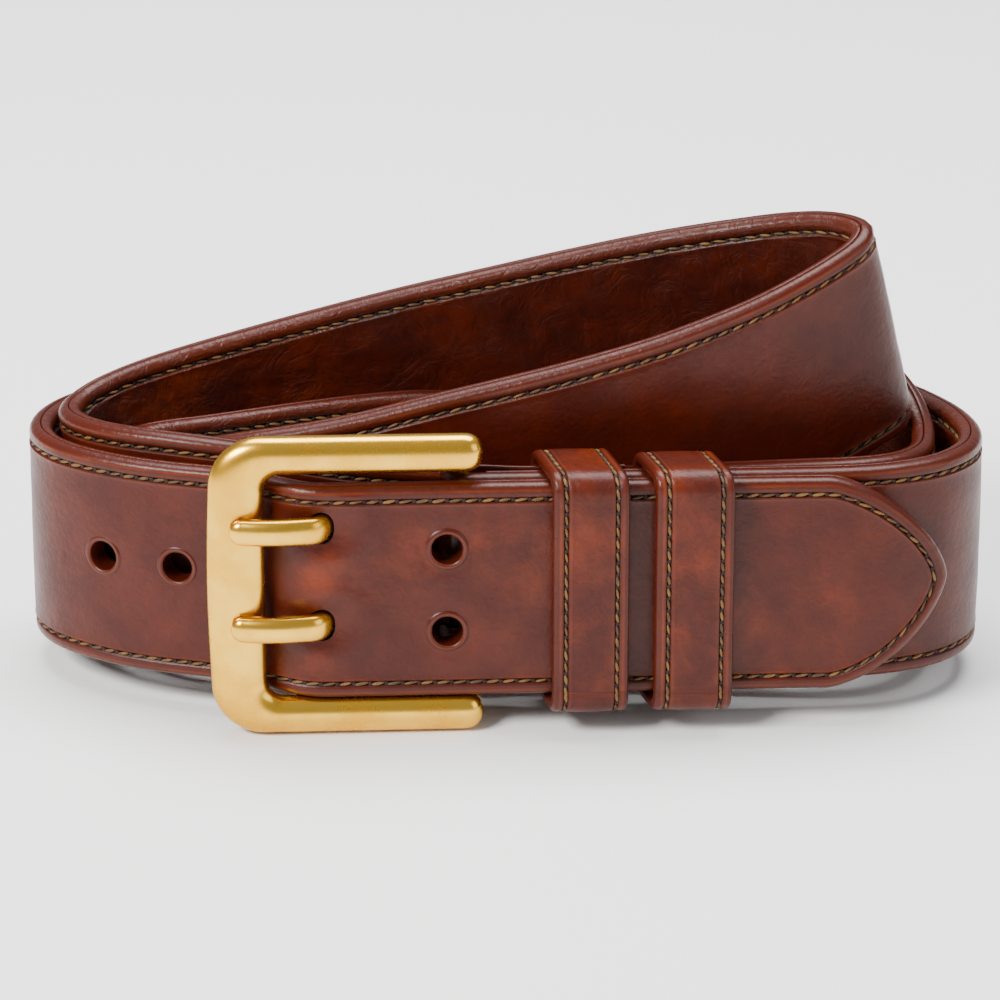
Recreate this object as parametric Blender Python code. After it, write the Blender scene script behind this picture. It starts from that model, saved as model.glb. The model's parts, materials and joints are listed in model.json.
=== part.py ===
"""A coiled and buckled leather belt: one stitched strap in three turns, a brass buckle, two keepers.

The coil is drawn standing upright in millimetres, its front along X and its back at +Y. The buckle
and the keepers are drawn on the line of the front strap. Everything hangs from the empty "coil",
which leans the whole belt back until it stands on the buckle's lower leg and the edges behind it.
"""
import math

import bmesh
import bpy
import numpy as np
from mathutils import Matrix, Vector

MM = 0.001

# Strap: top leather and lining, stitched together near both edges.
STRAP_WIDTH = 40.0
LEATHER_THICKNESS = 1.95
LINING_THICKNESS = 1.95
TOUCH_GAP = 0.3
TURN_GAP = 0.5
EDGE_CHAMFER = 0.5
TIP_LENGTH = 22.0
TIP_ROUNDNESS = 1.5

# The route was drawn for this strap: another thickness spreads it, another width raises it.
DRAWN_PITCH = 4.7
DRAWN_WIDTH = 40.0

# Line of the front strap in the coil's plan.
FRONT_OFFSET = -1.2
FRONT_SLOPE = 0.05

# Seams.
STITCH_INSET = 2.9
GROOVE_DEPTH = 0.8
GROOVE_HALF_WIDTH = 0.9
THREAD_RADIUS = 0.2
THREAD_DEPTH = 0.1

# Holes.
HOLE_DIAMETER = 5.6
FREE_PAIR_X = -9.4
FREE_PAIR_PITCH = 15.4
SINGLE_HOLES_X = (-56.6, -70.2)

# Buckle.
BUCKLE_LEFT_X = -51.2
BUCKLE_RIGHT_X = -3.0
BUCKLE_SIDE_GAP = 0.9
BUCKLE_RISE = 0.9
LEG_HEIGHT = 6.9
LEFT_BAR_WIDTH = 9.8
LEFT_BAR_BOW = 0.5
FRAME_DEPTH = 5.5
FRAME_DRAWN_Y = 0.5
OUTER_CORNER = 9.5
INNER_CORNER = 3.2
CROSSBAR_RADIUS = 1.75
CROSSBAR_X = -6.4
LUG_RADIUS = 3.3
LUG_HEIGHT = 3.4
CROSSBAR_SEAT = 2.4

# Prongs.
PRONG_PITCH = 18.2
PRONG_HEIGHT = 5.0
PRONG_THICKNESS = 3.4
SHANK_THICKNESS = 2.2
PRONG_RING_WALL = 1.5
PRONG_TIP_X = -47.6
PRONG_HOLE_X = -31.5
PRONG_CLEARANCE = 0.45

# Fold of the top leather round the crossbar.
FOLD_LENGTH = 29.0
FOLD_SLOT_CLEARANCE = 0.5

# Keepers.
KEEPER_THICKNESS = 2.2
KEEPER_CLEARANCE = 0.45
KEEPER_FRONT_GAP = 1.9
KEEPER_SKEW = 3.0
FIXED_KEEPER_X = 9.0
FIXED_KEEPER_WIDTH = 13.4
SLIDING_KEEPER_WIDTH = 13.8
KEEPER_SPACING = 4.4
KEEPER_CORNER = 2.6
KEEPER_STITCH_INSET = 2.3

strap_thickness = LEATHER_THICKNESS + TOUCH_GAP + LINING_THICKNESS
layer_pitch = strap_thickness + TURN_GAP
spread = layer_pitch / DRAWN_PITCH
lift = STRAP_WIDTH / DRAWN_WIDTH
strap_middle = STRAP_WIDTH / 2
frame_centre_y = FRAME_DRAWN_Y - (layer_pitch - DRAWN_PITCH) * 1.5
leather_offset = (strap_thickness - LEATHER_THICKNESS) / 2
lining_offset = -(strap_thickness - LINING_THICKNESS) / 2

wrap_radius = CROSSBAR_RADIUS + TOUCH_GAP + LEATHER_THICKNESS / 2
crossbar_y = layer_pitch - leather_offset + wrap_radius
fold_y = layer_pitch + strap_thickness / 2 + TOUCH_GAP + LEATHER_THICKNESS / 2
fold_back_y = fold_y + LEATHER_THICKNESS / 2

# The coil's route: each row is the middle of the strap's top edge (x, y), how far that edge is
# above the edge of a strap standing flat, and how far the lower edge stands from below it (x, y).
BEHIND_THE_BAR = [
    (-33.0, -2.6, 0, 0, 0), (-38.0, -0.2, 0, 0, 0), (-42.5, 2.8, 0, 0, 0), (-47.5, 5.1, 0, 0, 0),
    (-52.5, 6.6, 0, 0, 0),
]
LEFT_OUTER_TURN = [
    (-60.0, 8.8, 0, 0, 0), (-67.0, 11.7, 0, 0, 0), (-74.0, 16.0, 0, 0, 0),
    (-80.3, 22.0, 0, 0, 0), (-83.4, 29.5, 0, 0, 0), (-82.8, 38.0, 0, 0, 0), (-79.0, 45.8, 0, 0, 0),
]
BACK_RAMP = [
    (-71.0, 52.6, 0.5, 0, 1), (-58.0, 58.4, 3, 0, 2), (-42.0, 61.8, 7, 0, 2), (-22.0, 63.0, 13, 0, 2),
    (-2.0, 63.2, 18.5, 0, 2), (15.0, 63.0, 23, 0, 1), (27.0, 63.0, 25.5, 0, -1), (36.0, 63.1, 25.5, 0, -3),
    (44.0, 62.8, 23.8, 1, -6), (51.5, 61.0, 20.5, 2, -7), (58.5, 57.7, 15.6, 3, -7),
    (65.0, 53.8, 10.5, 3, -5), (71.0, 49.0, 6.5, 2, -3), (75.3, 42.6, 2.6, 0, 0),
]
RIGHT_SECOND_TURN = [
    (77.0, 35.8, -0.4, 0, 0), (76.9, 29.5, -1.4, 0, 0), (75.6, 23.0, -1.5, 0, 0),
    (71.5, 17.2, -1.2, 0, 0), (64.0, 13.9, -1, 0, 0), (54.0, 13.4, -1.2, 0, 0),
    (42.0, 14.2, -2, 0, 0), (25.0, 15.0, -3, 0, 0), (8.0, 14.4, -3.2, 0, 0),
    (-8.0, 13.2, -2.5, 0, 0), (-20.0, 12.4, -1.5, 0, 0), (-31.0, 11.8, 0, 0, 0),
    (-43.0, 12.0, 2.2, 0, 0), (-53.0, 13.3, 3.2, 0, 0),
]
LEFT_SECOND_TURN = [
    (-62.0, 16.1, 3.4, 1, 0), (-69.5, 20.1, 3.1, 2, 0), (-75.4, 25.0, 2.9, 4, 0),
    (-78.4, 31.0, 2.7, 5, 0), (-77.8, 37.0, 2.9, 6, 1), (-74.4, 41.0, 4.3, 7, 3),
    (-68.3, 44.1, 6.2, 8, 5),
]
RAISED_LOOP = [
    (-61.5, 46.1, 8, 8, 7), (-48.0, 48.4, 11.4, 8, 8), (-33.2, 49.9, 15.2, 8, 8),
    (-18.4, 50.4, 19, 9, 8), (-3.6, 50.2, 22.6, 9, 8), (11.0, 49.4, 26.3, 9, 8),
    (25.6, 47.7, 30.0, 9, 8), (36.2, 45.4, 32.6, 9, 8), (43.0, 43.5, 34.2, 9, 8),
    (50.0, 40.7, 36.0, 9, 8), (56.8, 36.6, 37.6, 9, 8), (62.0, 31.9, 38.3, 9, 8),
    (64.4, 27.6, 38.0, 9, 8), (63.0, 24.4, 36.3, 9, 8), (58.8, 22.0, 33.9, 9, 8),
    (53.5, 19.7, 31.3, 9, 8), (48.0, 17.9, 28.8, 9, 8), (42.5, 16.9, 26.4, 9, 8),
    (35.5, 16.1, 23.7, 9, 8), (26.6, 15.5, 20.5, 9, 8), (10.7, 15.0, 15.9, 9, 8),
    (-3.0, 15.0, 12.4, 8, 8), (-14.0, 15.2, 9.6, 7, 7), (-24.6, 15.6, 6.7, 5, 6),
    (-35.0, 16.2, 4.4, 3, 4), (-45.7, 17.4, 2.4, 1, 2),
]
LEFT_INNER_TURN = [
    (-55.0, 20.2, 0, 0, 0), (-62.0, 24.3, -1.7, 0, 0), (-66.2, 29.0, -2.2, 0, 0),
    (-66.0, 34.0, -2.2, 0, 0), (-61.5, 37.2, -2.2, 0, 0), (-55.0, 39.0, -2, 0, 0),
    (-46.0, 41.6, -1.5, 0, 0), (-37.0, 44.2, -1, 0, 0), (-20.0, 48.2, -0.3, 0, 0),
    (-11.0, 49.5, -0.4, 0, -4),
]
UNDERPASS = [
    (-2.5, 50.3, -1.3, 1, -12), (7.0, 51.7, -5.2, 4, -21), (16.5, 55.5, -14, 11, -28),
    (25.0, 61.0, -18, 16, -29), (33.0, 66.5, -17.5, 17, -28), (41.0, 70.6, -14, 14, -27),
    (49.0, 73.0, -9.5, 9, -24), (57.0, 72.6, -5, 4, -18), (64.5, 69.0, -2.2, 2, -12),
    (71.0, 63.0, -1.4, 1, -7), (76.0, 55.2, -1, 0, -3),
]
RIGHT_OUTER_TURN = [
    (79.8, 47.0, -0.4, 0, 0), (83.2, 38.5, 0, 0, 0), (85.1, 30.5, 0, 0, 0),
    (84.9, 24.4, 0, 0, 0), (83.0, 18.6, 0, 0, 0), (78.0, 12.6, 0, 0, 0), (71.0, 8.9, 0, 0, 0),
    (64.0, 7.1, 0, 0, 0),
]
TIP_REACH = [(79.2, 6.5, 0, 0, 0), (72.4, 3.5, 0, 0, 0), (65.0, 1.8, 0, 0, 0)]
FRONT_ROWS_X = (54.0, 34.0, 10.0, -12.0, -26.0)


def on_front_line(x, depth):
    """Plan point of the coil that is x along the front line and depth behind the tip strap's middle."""
    angle = math.atan(FRONT_SLOPE)
    return (x * math.cos(angle) - depth * math.sin(angle),
            FRONT_OFFSET + x * math.sin(angle) + depth * math.cos(angle))


def coil_row(row):
    """A drawn row, spread and raised to suit the strap's thickness and width."""
    x, y, rise, toe_x, toe_y = row
    return (x * spread, y * spread, rise * lift, toe_x * lift, toe_y * lift)


def bar_row(row):
    """A row by the buckle's left bar keeps its place along the bar and moves back with the thickness."""
    x, y, rise, toe_x, toe_y = row
    return (x, y + layer_pitch - DRAWN_PITCH, rise, toe_x, toe_y)


def route_rows():
    front = [(*on_front_line(x, 0), 0, 0, 0) for x in FRONT_ROWS_X]
    drawn = LEFT_OUTER_TURN + BACK_RAMP + RIGHT_SECOND_TURN + LEFT_SECOND_TURN
    drawn += RAISED_LOOP + LEFT_INNER_TURN + UNDERPASS + RIGHT_OUTER_TURN
    under = [(*on_front_line(x, layer_pitch), 0, 0, 0) for x in FRONT_ROWS_X[:3]]
    last = (*on_front_line(CROSSBAR_X, layer_pitch), 0, 0, 0)
    behind = [bar_row(row) for row in BEHIND_THE_BAR]
    return [coil_row(row) for row in TIP_REACH] + front + behind + [coil_row(row) for row in drawn] + under + [last]


def smooth_rows(rows, steps=12):
    """Centripetal Catmull-Rom curve through the rows."""
    points = [np.array(row, dtype=float) for row in rows]
    points = [2 * points[0] - points[1]] + points + [2 * points[-1] - points[-2]]
    curve = []
    for before, start, end, after in zip(points, points[1:], points[2:], points[3:]):
        knots = [0.0]
        for a, b in ((before, start), (start, end), (end, after)):
            knots.append(knots[-1] + max(np.linalg.norm(b[:3] - a[:3]), 1e-6) ** 0.5)
        for step in range(steps):
            t = knots[1] + (knots[2] - knots[1]) * step / steps
            a1 = ((knots[1] - t) * before + (t - knots[0]) * start) / (knots[1] - knots[0])
            a2 = ((knots[2] - t) * start + (t - knots[1]) * end) / (knots[2] - knots[1])
            a3 = ((knots[3] - t) * end + (t - knots[2]) * after) / (knots[3] - knots[2])
            b1 = ((knots[2] - t) * a1 + (t - knots[0]) * a2) / (knots[2] - knots[0])
            b2 = ((knots[3] - t) * a2 + (t - knots[1]) * a3) / (knots[3] - knots[1])
            curve.append(((knots[2] - t) * b1 + (t - knots[1]) * b2) / (knots[2] - knots[1]))
    curve.append(points[-2])
    return np.array(curve)


def unit(vectors):
    return vectors / np.linalg.norm(vectors, axis=-1, keepdims=True)


def strap_frames():
    """Middle, rise direction, outward normal, slant and length, at fine steps along the route."""
    rows = smooth_rows(route_rows())
    top = np.column_stack((rows[:, 0], rows[:, 1], STRAP_WIDTH + rows[:, 2]))
    drop = np.sqrt(np.maximum(STRAP_WIDTH ** 2 - rows[:, 3] ** 2 - rows[:, 4] ** 2, 1.0))
    up = unit(np.column_stack((-rows[:, 3], -rows[:, 4], drop)))
    slant = 1 / np.linalg.norm(np.cross(unit(np.gradient(top, axis=0)), up), axis=1)
    middle = top - up * (slant * STRAP_WIDTH / 2)[:, None]
    along = unit(np.gradient(middle, axis=0))
    out = unit(np.cross(up, along))
    length = np.concatenate(([0.0], np.cumsum(np.linalg.norm(np.diff(middle, axis=0), axis=1))))
    return middle, along, up * slant[:, None], out, length


def choose_stations(along, up, length, turn=math.radians(15) / max(lift, 1.0) ** 2, longest=13.0):
    """Lengths at which the strap gets a cross-section: close in the turns, far apart on the runs."""
    stations = [TIP_LENGTH * part for part in (0.006, 0.03, 0.08, 0.16, 0.27, 0.4, 0.55, 0.75, 1)]
    last_along = None
    for direction, upward, s in zip(along, up, length):
        if s <= stations[-1]:
            last_along, last_up = direction, upward
            continue
        bend = math.acos(min(1.0, float(direction @ last_along)))
        bend += 2 * math.acos(min(1.0, float(unit(upward) @ unit(last_up))))
        if bend > turn or s - stations[-1] > longest:
            stations.append(s)
            last_along, last_up = direction, upward
    return stations


def tip_half_height(s, inset):
    """Half height of the strap's outline, or of a line inset from it, s along from the tip."""
    full = STRAP_WIDTH / 2 - inset
    reach = TIP_LENGTH - inset
    ahead = (TIP_LENGTH - s) / reach
    if ahead <= 0:
        return full
    if ahead >= 1:
        return 0.0
    return full * (1 - ahead ** TIP_ROUNDNESS) ** (1 / TIP_ROUNDNESS)


class Station:
    """A cross-section of the strap: its middle, directions and length from the tip."""

    def __init__(self, middle, up, out, s):
        self.middle = middle
        self.up = up
        self.out = out
        self.s = s


def strap_stations():
    middle, along, up, out, length = strap_frames()
    stations = []
    for s in choose_stations(along, up, length) + [length[-1]]:
        at = [np.array([np.interp(s, length, axis) for axis in group.T]) for group in (middle, up, out)]
        stations.append(Station(at[0], at[1], unit(at[2]), s))
    return stations


def fold_stations(first):
    """The top leather's own stations round the crossbar and back behind the lining."""
    centre_x = CROSSBAR_X
    points = []
    for step in range(1, 12):
        angle = math.pi * step / 12
        points.append((centre_x - wrap_radius * math.sin(angle), crossbar_y - wrap_radius * math.cos(angle)))
    ease = 7.0
    points.append((centre_x + 0.5, crossbar_y + wrap_radius))
    points.append((centre_x + ease, fold_y + (crossbar_y + wrap_radius - fold_y) * 0.3))
    points.append((centre_x + ease * 1.7, fold_y))
    points.append((centre_x + FOLD_LENGTH, fold_y))
    plan = [on_front_line(x, y) for x, y in points]
    start = (first.middle + first.out * leather_offset)[:2]
    line = [start] + [np.array(p) for p in plan]
    stations = []
    for before, here, after in zip(line, line[1:], line[2:] + [2 * line[-1] - line[-2]]):
        along = unit(np.array([*(after - before), 0.0]))
        out = np.cross((0, 0, 1), along)
        stations.append(Station(np.array([*here, first.middle[2]]), np.array((0, 0, 1.0)), out, first.s + 1))
    return stations


def layer_section(station, offset, thickness, side):
    """Outline of one layer of the strap, its outer face and the two seam grooves towards side."""
    half = max(tip_half_height(station.s, 0), 0.6)
    near = side * thickness / 2
    far = -near
    chamfer = min(EDGE_CHAMFER, 0.3 * half)
    points = [(half, near - side * chamfer), (half - chamfer, near)]
    seam = tip_half_height(station.s, STITCH_INSET)
    deep = GROOVE_DEPTH if station.s > TIP_LENGTH - 0.01 else 0.0
    if seam > 2 * GROOVE_HALF_WIDTH:
        points += [(seam + GROOVE_HALF_WIDTH, near), (seam, near - side * deep), (seam - GROOVE_HALF_WIDTH, near)]
    else:
        points += [(0.6 * half, near), (0.4 * half, near), (0.2 * half, near)]
    mirrored = [(-height, depth) for height, depth in reversed(points)]
    outline = points + [(0, near)] + mirrored + [(-half, far), (0, far), (half, far)]
    return [station.middle + station.up * height + station.out * (offset + depth)
            for height, depth in outline]


def new_object(name, verts, faces, parent, colour, roughness, metallic=0.0, smooth=True):
    mesh = bpy.data.meshes.new(name)
    mesh.from_pydata([Vector(v) * MM for v in verts], [], faces)
    bm = bmesh.new()
    bm.from_mesh(mesh)
    bmesh.ops.recalc_face_normals(bm, faces=bm.faces)
    bm.to_mesh(mesh)
    bm.free()
    obj = bpy.data.objects.new(name, mesh)
    bpy.context.collection.objects.link(obj)
    obj.parent = parent
    mesh.materials.append(make_material(name, colour, roughness, metallic))
    if smooth:
        mesh.shade_smooth()
        mesh.set_sharp_from_angle(angle=math.radians(35))
    return obj


def make_material(name, colour, roughness, metallic):
    material = bpy.data.materials.new(name)
    material.use_nodes = True
    shader = material.node_tree.nodes["Principled BSDF"]
    shader.inputs["Base Color"].default_value = (*colour, 1)
    shader.inputs["Roughness"].default_value = roughness
    shader.inputs["Metallic"].default_value = metallic
    return material


def skin(rings, closed=False, split=False):
    """Vertices and faces of a tube through rings of points: split makes triangles of its sides."""
    count = len(rings[0])
    verts = [point for ring in rings for point in ring]
    pairs = [(i, i + 1) for i in range(len(rings) - 1)]
    if closed:
        pairs.append((len(rings) - 1, 0))
    faces = []
    for a, b in pairs:
        for k in range(count):
            following = (k + 1) % count
            corners = (a * count + k, a * count + following, b * count + following, b * count + k)
            faces += [corners[:3], (corners[0], *corners[2:])] if split else [corners]
    if not closed:
        last = (len(rings) - 1) * count
        faces.append(tuple(reversed(range(count))))
        faces.append(tuple(last + k for k in range(count)))
    return verts, faces


def tube_rings(points, radius_a, radius_b, side, sides):
    """Rings of an oval tube: radius_a runs along side, radius_b across both side and the path."""
    rings = []
    points = [np.array(p, dtype=float) for p in points]
    side = unit(np.array(side, dtype=float))
    for i, point in enumerate(points):
        before = points[max(i - 1, 0)]
        after = points[min(i + 1, len(points) - 1)]
        along = unit(after - before)
        across = unit(np.cross(along, side))
        a = radius_a[i] if isinstance(radius_a, (list, tuple)) else radius_a
        b = radius_b[i] if isinstance(radius_b, (list, tuple)) else radius_b
        ring = []
        for k in range(sides):
            angle = 2 * math.pi * (k + 0.5) / sides
            ring.append(point + side * a * math.cos(angle) + across * b * math.sin(angle))
        rings.append(ring)
    return rings


def cutter(name, verts, faces, parent):
    obj = new_object(name, verts, faces, parent, (1, 0, 0), 0.5, smooth=False)
    obj.hide_render = True
    obj.display_type = "WIRE"
    return obj


def cylinder(start, end, radius, sides=20):
    start = np.array(start, dtype=float)
    end = np.array(end, dtype=float)
    axis = unit(end - start)
    helper = (1, 0, 0) if abs(axis[0]) < 0.9 else (0, 1, 0)
    return skin(tube_rings([start, end], radius, radius, np.cross(axis, helper), sides))


def box(low, high):
    corners = [(x, y, z) for z in (low[2], high[2]) for x, y in
               ((low[0], low[1]), (high[0], low[1]), (high[0], high[1]), (low[0], high[1]))]
    return skin([corners[:4], corners[4:]])


def boolean(target, tool, operation):
    modifier = target.modifiers.new(f"{operation.lower()} {tool.name}", "BOOLEAN")
    modifier.operation = operation
    modifier.object = tool
    modifier.solver = "EXACT"


def empty(name, parent=None):
    obj = bpy.data.objects.new(name, None)
    bpy.context.collection.objects.link(obj)
    obj.parent = parent
    return obj


def move_origin(obj, point):
    """Put a piece's origin on its joint, without moving its surface."""
    obj.data.transform(Matrix.Translation(-Vector(point) * MM))
    obj.location = Vector(point) * MM


# Strap, lining and their seam threads.

def build_strap(coil, leather_cutters, lining_cutters):
    stations = strap_stations()
    wrapped = stations + fold_stations_for_leather(stations)
    rings = [layer_section(st, leather_offset, LEATHER_THICKNESS, 1) for st in stations]
    rings += [layer_section(st, 0.0, LEATHER_THICKNESS, 1) for st in wrapped[len(stations):]]
    leather = new_object("strap_top_leather", *skin(rings, split=True), coil, (0.22, 0.055, 0.022), 0.35)
    lining_end = end_of_lining(stations)
    lined = [st for st in stations if st.s < lining_end.s - 0.5] + [lining_end]
    rings = [layer_section(st, lining_offset, LINING_THICKNESS, -1) for st in lined]
    lining = new_object("strap_lining", *skin(rings, split=True), coil, (0.10, 0.028, 0.014), 0.6)
    for tool in leather_cutters:
        boolean(leather, tool, "DIFFERENCE")
    for tool in lining_cutters:
        boolean(lining, tool, "DIFFERENCE")
    build_seam("seam_thread_outer", coil, lined, strap_thickness / 2, 1)
    build_seam("seam_thread_inner", coil, lined, -strap_thickness / 2, -1)
    return leather, lining


def fold_stations_for_leather(stations):
    return fold_stations(stations[-1])


def end_of_lining(stations):
    """The lining stops short of the crossbar's wrap."""
    last = stations[-1]
    back = CROSSBAR_RADIUS + TOUCH_GAP + PRONG_RING_WALL + 0.7
    return Station(last.middle + back * np.cross(last.out, last.up) * -1, last.up, last.out, last.s - back)


def build_seam(name, coil, stations, face_offset, side):
    """One thread: along the upper edge to the tip, round the point and back along the lower edge."""
    upper = []
    lower = []
    for st in stations:
        if st.s < STITCH_INSET:
            continue
        depth = -THREAD_DEPTH
        if st.s < TIP_LENGTH - 0.01:
            depth = TOUCH_GAP + THREAD_RADIUS
        seam = tip_half_height(st.s, STITCH_INSET)
        surface = st.middle + st.out * (face_offset + side * depth)
        upper.append((surface + st.up * seam, st.out))
        lower.append((surface - st.up * seam, st.out))
    line = list(reversed(upper)) + lower
    path = [point for point, _ in line]
    path[0] = path[1] + (path[0] - path[1]) * 0.9
    path[-1] = path[-2] + (path[-1] - path[-2]) * 0.9
    rings = thread_rings(path, [out for _, out in line])
    new_object(name, *skin(rings), coil, (0.20, 0.12, 0.045), 0.7)


def thread_rings(path, outs, radius=THREAD_RADIUS, sides=3):
    rings = []
    for i, (point, out) in enumerate(zip(path, outs)):
        along = unit(path[min(i + 1, len(path) - 1)] - path[max(i - 1, 0)])
        across = unit(np.cross(along, out))
        upright = np.cross(across, along)
        rings.append([point + radius * (across * math.cos(a) + upright * math.sin(a))
                      for a in (2 * math.pi * k / sides for k in range(sides))])
    return rings


# Buckle.

def frame_outline(inset_corner, left, right, bottom, top, corner, bow):
    """Half a turn of a squared C: along the upper edge, round the left side and back below."""
    points = []
    for step in range(7):
        points.append((right + (left + corner - right) * step / 6, top))
    for step in range(1, 6):
        angle = math.pi / 2 + math.pi / 2 * step / 5
        points.append((left + corner + corner * math.cos(angle), top - corner + corner * math.sin(angle)))
    straight = top - bottom - 2 * corner
    for step in range(1, 8):
        drop = straight * step / 8
        points.append((left - bow * math.sin(math.pi * step / 8), top - corner - drop))
    mirrored = [(x, bottom + top - z) for x, z in reversed(points[:12])]
    return points + mirrored


def build_frame(line):
    window_low = BUCKLE_RISE - BUCKLE_SIDE_GAP
    window_high = BUCKLE_RISE + STRAP_WIDTH + BUCKLE_SIDE_GAP
    outer = frame_outline(0, BUCKLE_LEFT_X, BUCKLE_RIGHT_X, window_low - LEG_HEIGHT,
                          window_high + LEG_HEIGHT, OUTER_CORNER, LEFT_BAR_BOW)
    inner = frame_outline(0, BUCKLE_LEFT_X + LEFT_BAR_WIDTH, BUCKLE_RIGHT_X, window_low,
                          window_high, INNER_CORNER, 0.0)
    rings = []
    last = len(outer) - 1
    sides = 12
    for i, (far, near) in enumerate(zip(outer, inner)):
        middle = (np.array(far) + np.array(near)) / 2
        half = (np.array(far) - np.array(near)) / 2
        rounding = 1.0
        if i in (0, last):
            rounding = 0.55
        ring = []
        for k in range(sides):
            angle = 2 * math.pi * (k + 0.5) / sides
            x, z = middle + half * rounding * soft(math.cos(angle))
            y = frame_centre_y + rounding * FRAME_DEPTH / 2 * soft(math.sin(angle))
            ring.append((x, y, z))
        rings.append(ring)
    for end, following in ((0, 1), (last, last - 1)):
        shift = 1.6 * (1 if end == 0 else 1)
        moved = []
        for x, y, z in rings[end]:
            moved.append((x, y, z))
        rings[end] = moved
        inner_ring = [(x - shift, y, z) for x, y, z in scaled_ring(rings[end], 1 / 0.55)]
        if end == 0:
            rings[1] = inner_ring
        else:
            rings[last - 1] = inner_ring
    frame = new_object("buckle_frame", *skin(rings), line, (0.75, 0.52, 0.19), 0.3, 1.0)
    return frame, window_low, window_high


def scaled_ring(ring, factor):
    centre = np.mean(np.array(ring), axis=0)
    return [tuple(centre + (np.array(p) - centre) * factor) for p in ring]


def soft(value):
    """A squarer oval than an ellipse."""
    return math.copysign(abs(value) ** 0.8, value)


def build_buckle(line):
    frame, window_low, window_high = build_frame(line)
    lugs = []
    for name, low, high in (("lug_lower", window_low - LUG_HEIGHT, window_low),
                            ("lug_upper", window_high, window_high + LUG_HEIGHT)):
        start = (CROSSBAR_X, crossbar_y, low)
        lugs.append(cutter(name, *lug_shape(start, high), line))
    for lug in lugs:
        boolean(frame, lug, "UNION")
    seat_low = window_low - CROSSBAR_SEAT
    seat_high = window_high + CROSSBAR_SEAT
    seat = cutter("crossbar_seat", *cylinder((CROSSBAR_X, crossbar_y, seat_low - TOUCH_GAP),
                                             (CROSSBAR_X, crossbar_y, seat_high + TOUCH_GAP),
                                             CROSSBAR_RADIUS + TOUCH_GAP), line)
    boolean(frame, seat, "DIFFERENCE")
    bar = new_object("buckle_crossbar", *cylinder((CROSSBAR_X, crossbar_y, seat_low),
                                                  (CROSSBAR_X, crossbar_y, seat_high),
                                                  CROSSBAR_RADIUS, 16),
                     line, (0.62, 0.42, 0.15), 0.4, 1.0)
    return frame, bar


def lug_shape(start, high):
    """A round lug behind a leg, carried forward into the leg."""
    x, y, low = start
    outline = []
    for step in range(11):
        angle = math.pi * step / 10
        outline.append((x + LUG_RADIUS * math.cos(angle), y + LUG_RADIUS * math.sin(angle)))
    outline.append((x - LUG_RADIUS, frame_centre_y))
    outline.append((x + LUG_RADIUS, frame_centre_y))
    inset = 0.02
    return skin([[(px, py, z) for px, py in outline] for z in (low, high - inset)])


def prong_route(z):
    """Centre line of a prong: behind the tip strap, through its hole and on to the left bar."""
    shank_y = strap_thickness / 2 + TOUCH_GAP + 0.15 + SHANK_THICKNESS / 2
    front_y_here = frame_centre_y - FRAME_DEPTH / 2 - PRONG_THICKNESS / 2 + 0.9
    hole = PRONG_HOLE_X
    points = [
        (CROSSBAR_X - CROSSBAR_RADIUS - TOUCH_GAP - 0.4, shank_y, z),
        (CROSSBAR_X - 8.0, shank_y, z),
        (hole + 7.0, shank_y, z),
        (hole + 4.3, shank_y - 0.9, z),
        (hole + 1.8, shank_y * 0.25, z),
        (hole - 1.2, -strap_thickness / 2 - 0.7, z),
        (hole - 4.2, front_y_here - 0.3, z),
        (hole - 7.5, front_y_here - 0.6, z),
        (PRONG_TIP_X + 5.0, front_y_here - 0.35, z),
        (PRONG_TIP_X + 1.5, front_y_here, z),
        (PRONG_TIP_X, front_y_here + 0.15, z),
    ]
    thick = [SHANK_THICKNESS] * 3 + [2.4, 2.7, 3.0, PRONG_THICKNESS, PRONG_THICKNESS, PRONG_THICKNESS,
                                     PRONG_THICKNESS * 0.85, PRONG_THICKNESS * 0.4]
    height = [PRONG_HEIGHT] * 9 + [PRONG_HEIGHT * 0.85, PRONG_HEIGHT * 0.4]
    return points, thick, height


def prong_sweep(z, extra):
    points, thick, height = prong_route(z)
    if extra:
        tip = np.array(points[-1])
        points[-1] = tuple(tip + np.array((-extra, 0, 0)))
    half_thick = [value / 2 + extra for value in thick]
    half_height = [value / 2 + extra for value in height]
    return skin(tube_rings(points, half_height, half_thick, (0, 0, 1), 10))


def build_prongs(line, frame):
    prongs = []
    for name, sign in (("prong_upper", 1), ("prong_lower", -1)):
        z = strap_middle + 3.2 + sign * PRONG_PITCH / 2
        prong = new_object(name, *prong_sweep(z, 0.0), line, (0.78, 0.56, 0.22), 0.28, 1.0)
        ring_radius = CROSSBAR_RADIUS + TOUCH_GAP + PRONG_RING_WALL
        low = (CROSSBAR_X, crossbar_y, z - PRONG_HEIGHT / 2)
        high = (CROSSBAR_X, crossbar_y, z + PRONG_HEIGHT / 2)
        ring = cutter(f"{name}_ring", *cylinder(low, high, ring_radius), line)
        bore = cutter(f"{name}_bore", *cylinder((*low[:2], low[2] - 1), (*high[:2], high[2] + 1),
                                                CROSSBAR_RADIUS + TOUCH_GAP), line)
        boolean(prong, ring, "UNION")
        boolean(prong, bore, "DIFFERENCE")
        notch = cutter(f"{name}_notch", *prong_sweep(z, TOUCH_GAP), line)
        boolean(frame, notch, "DIFFERENCE")
        move_origin(prong, (CROSSBAR_X, crossbar_y, z))
        prongs.append(prong)
    return prongs


# Keepers.

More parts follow.
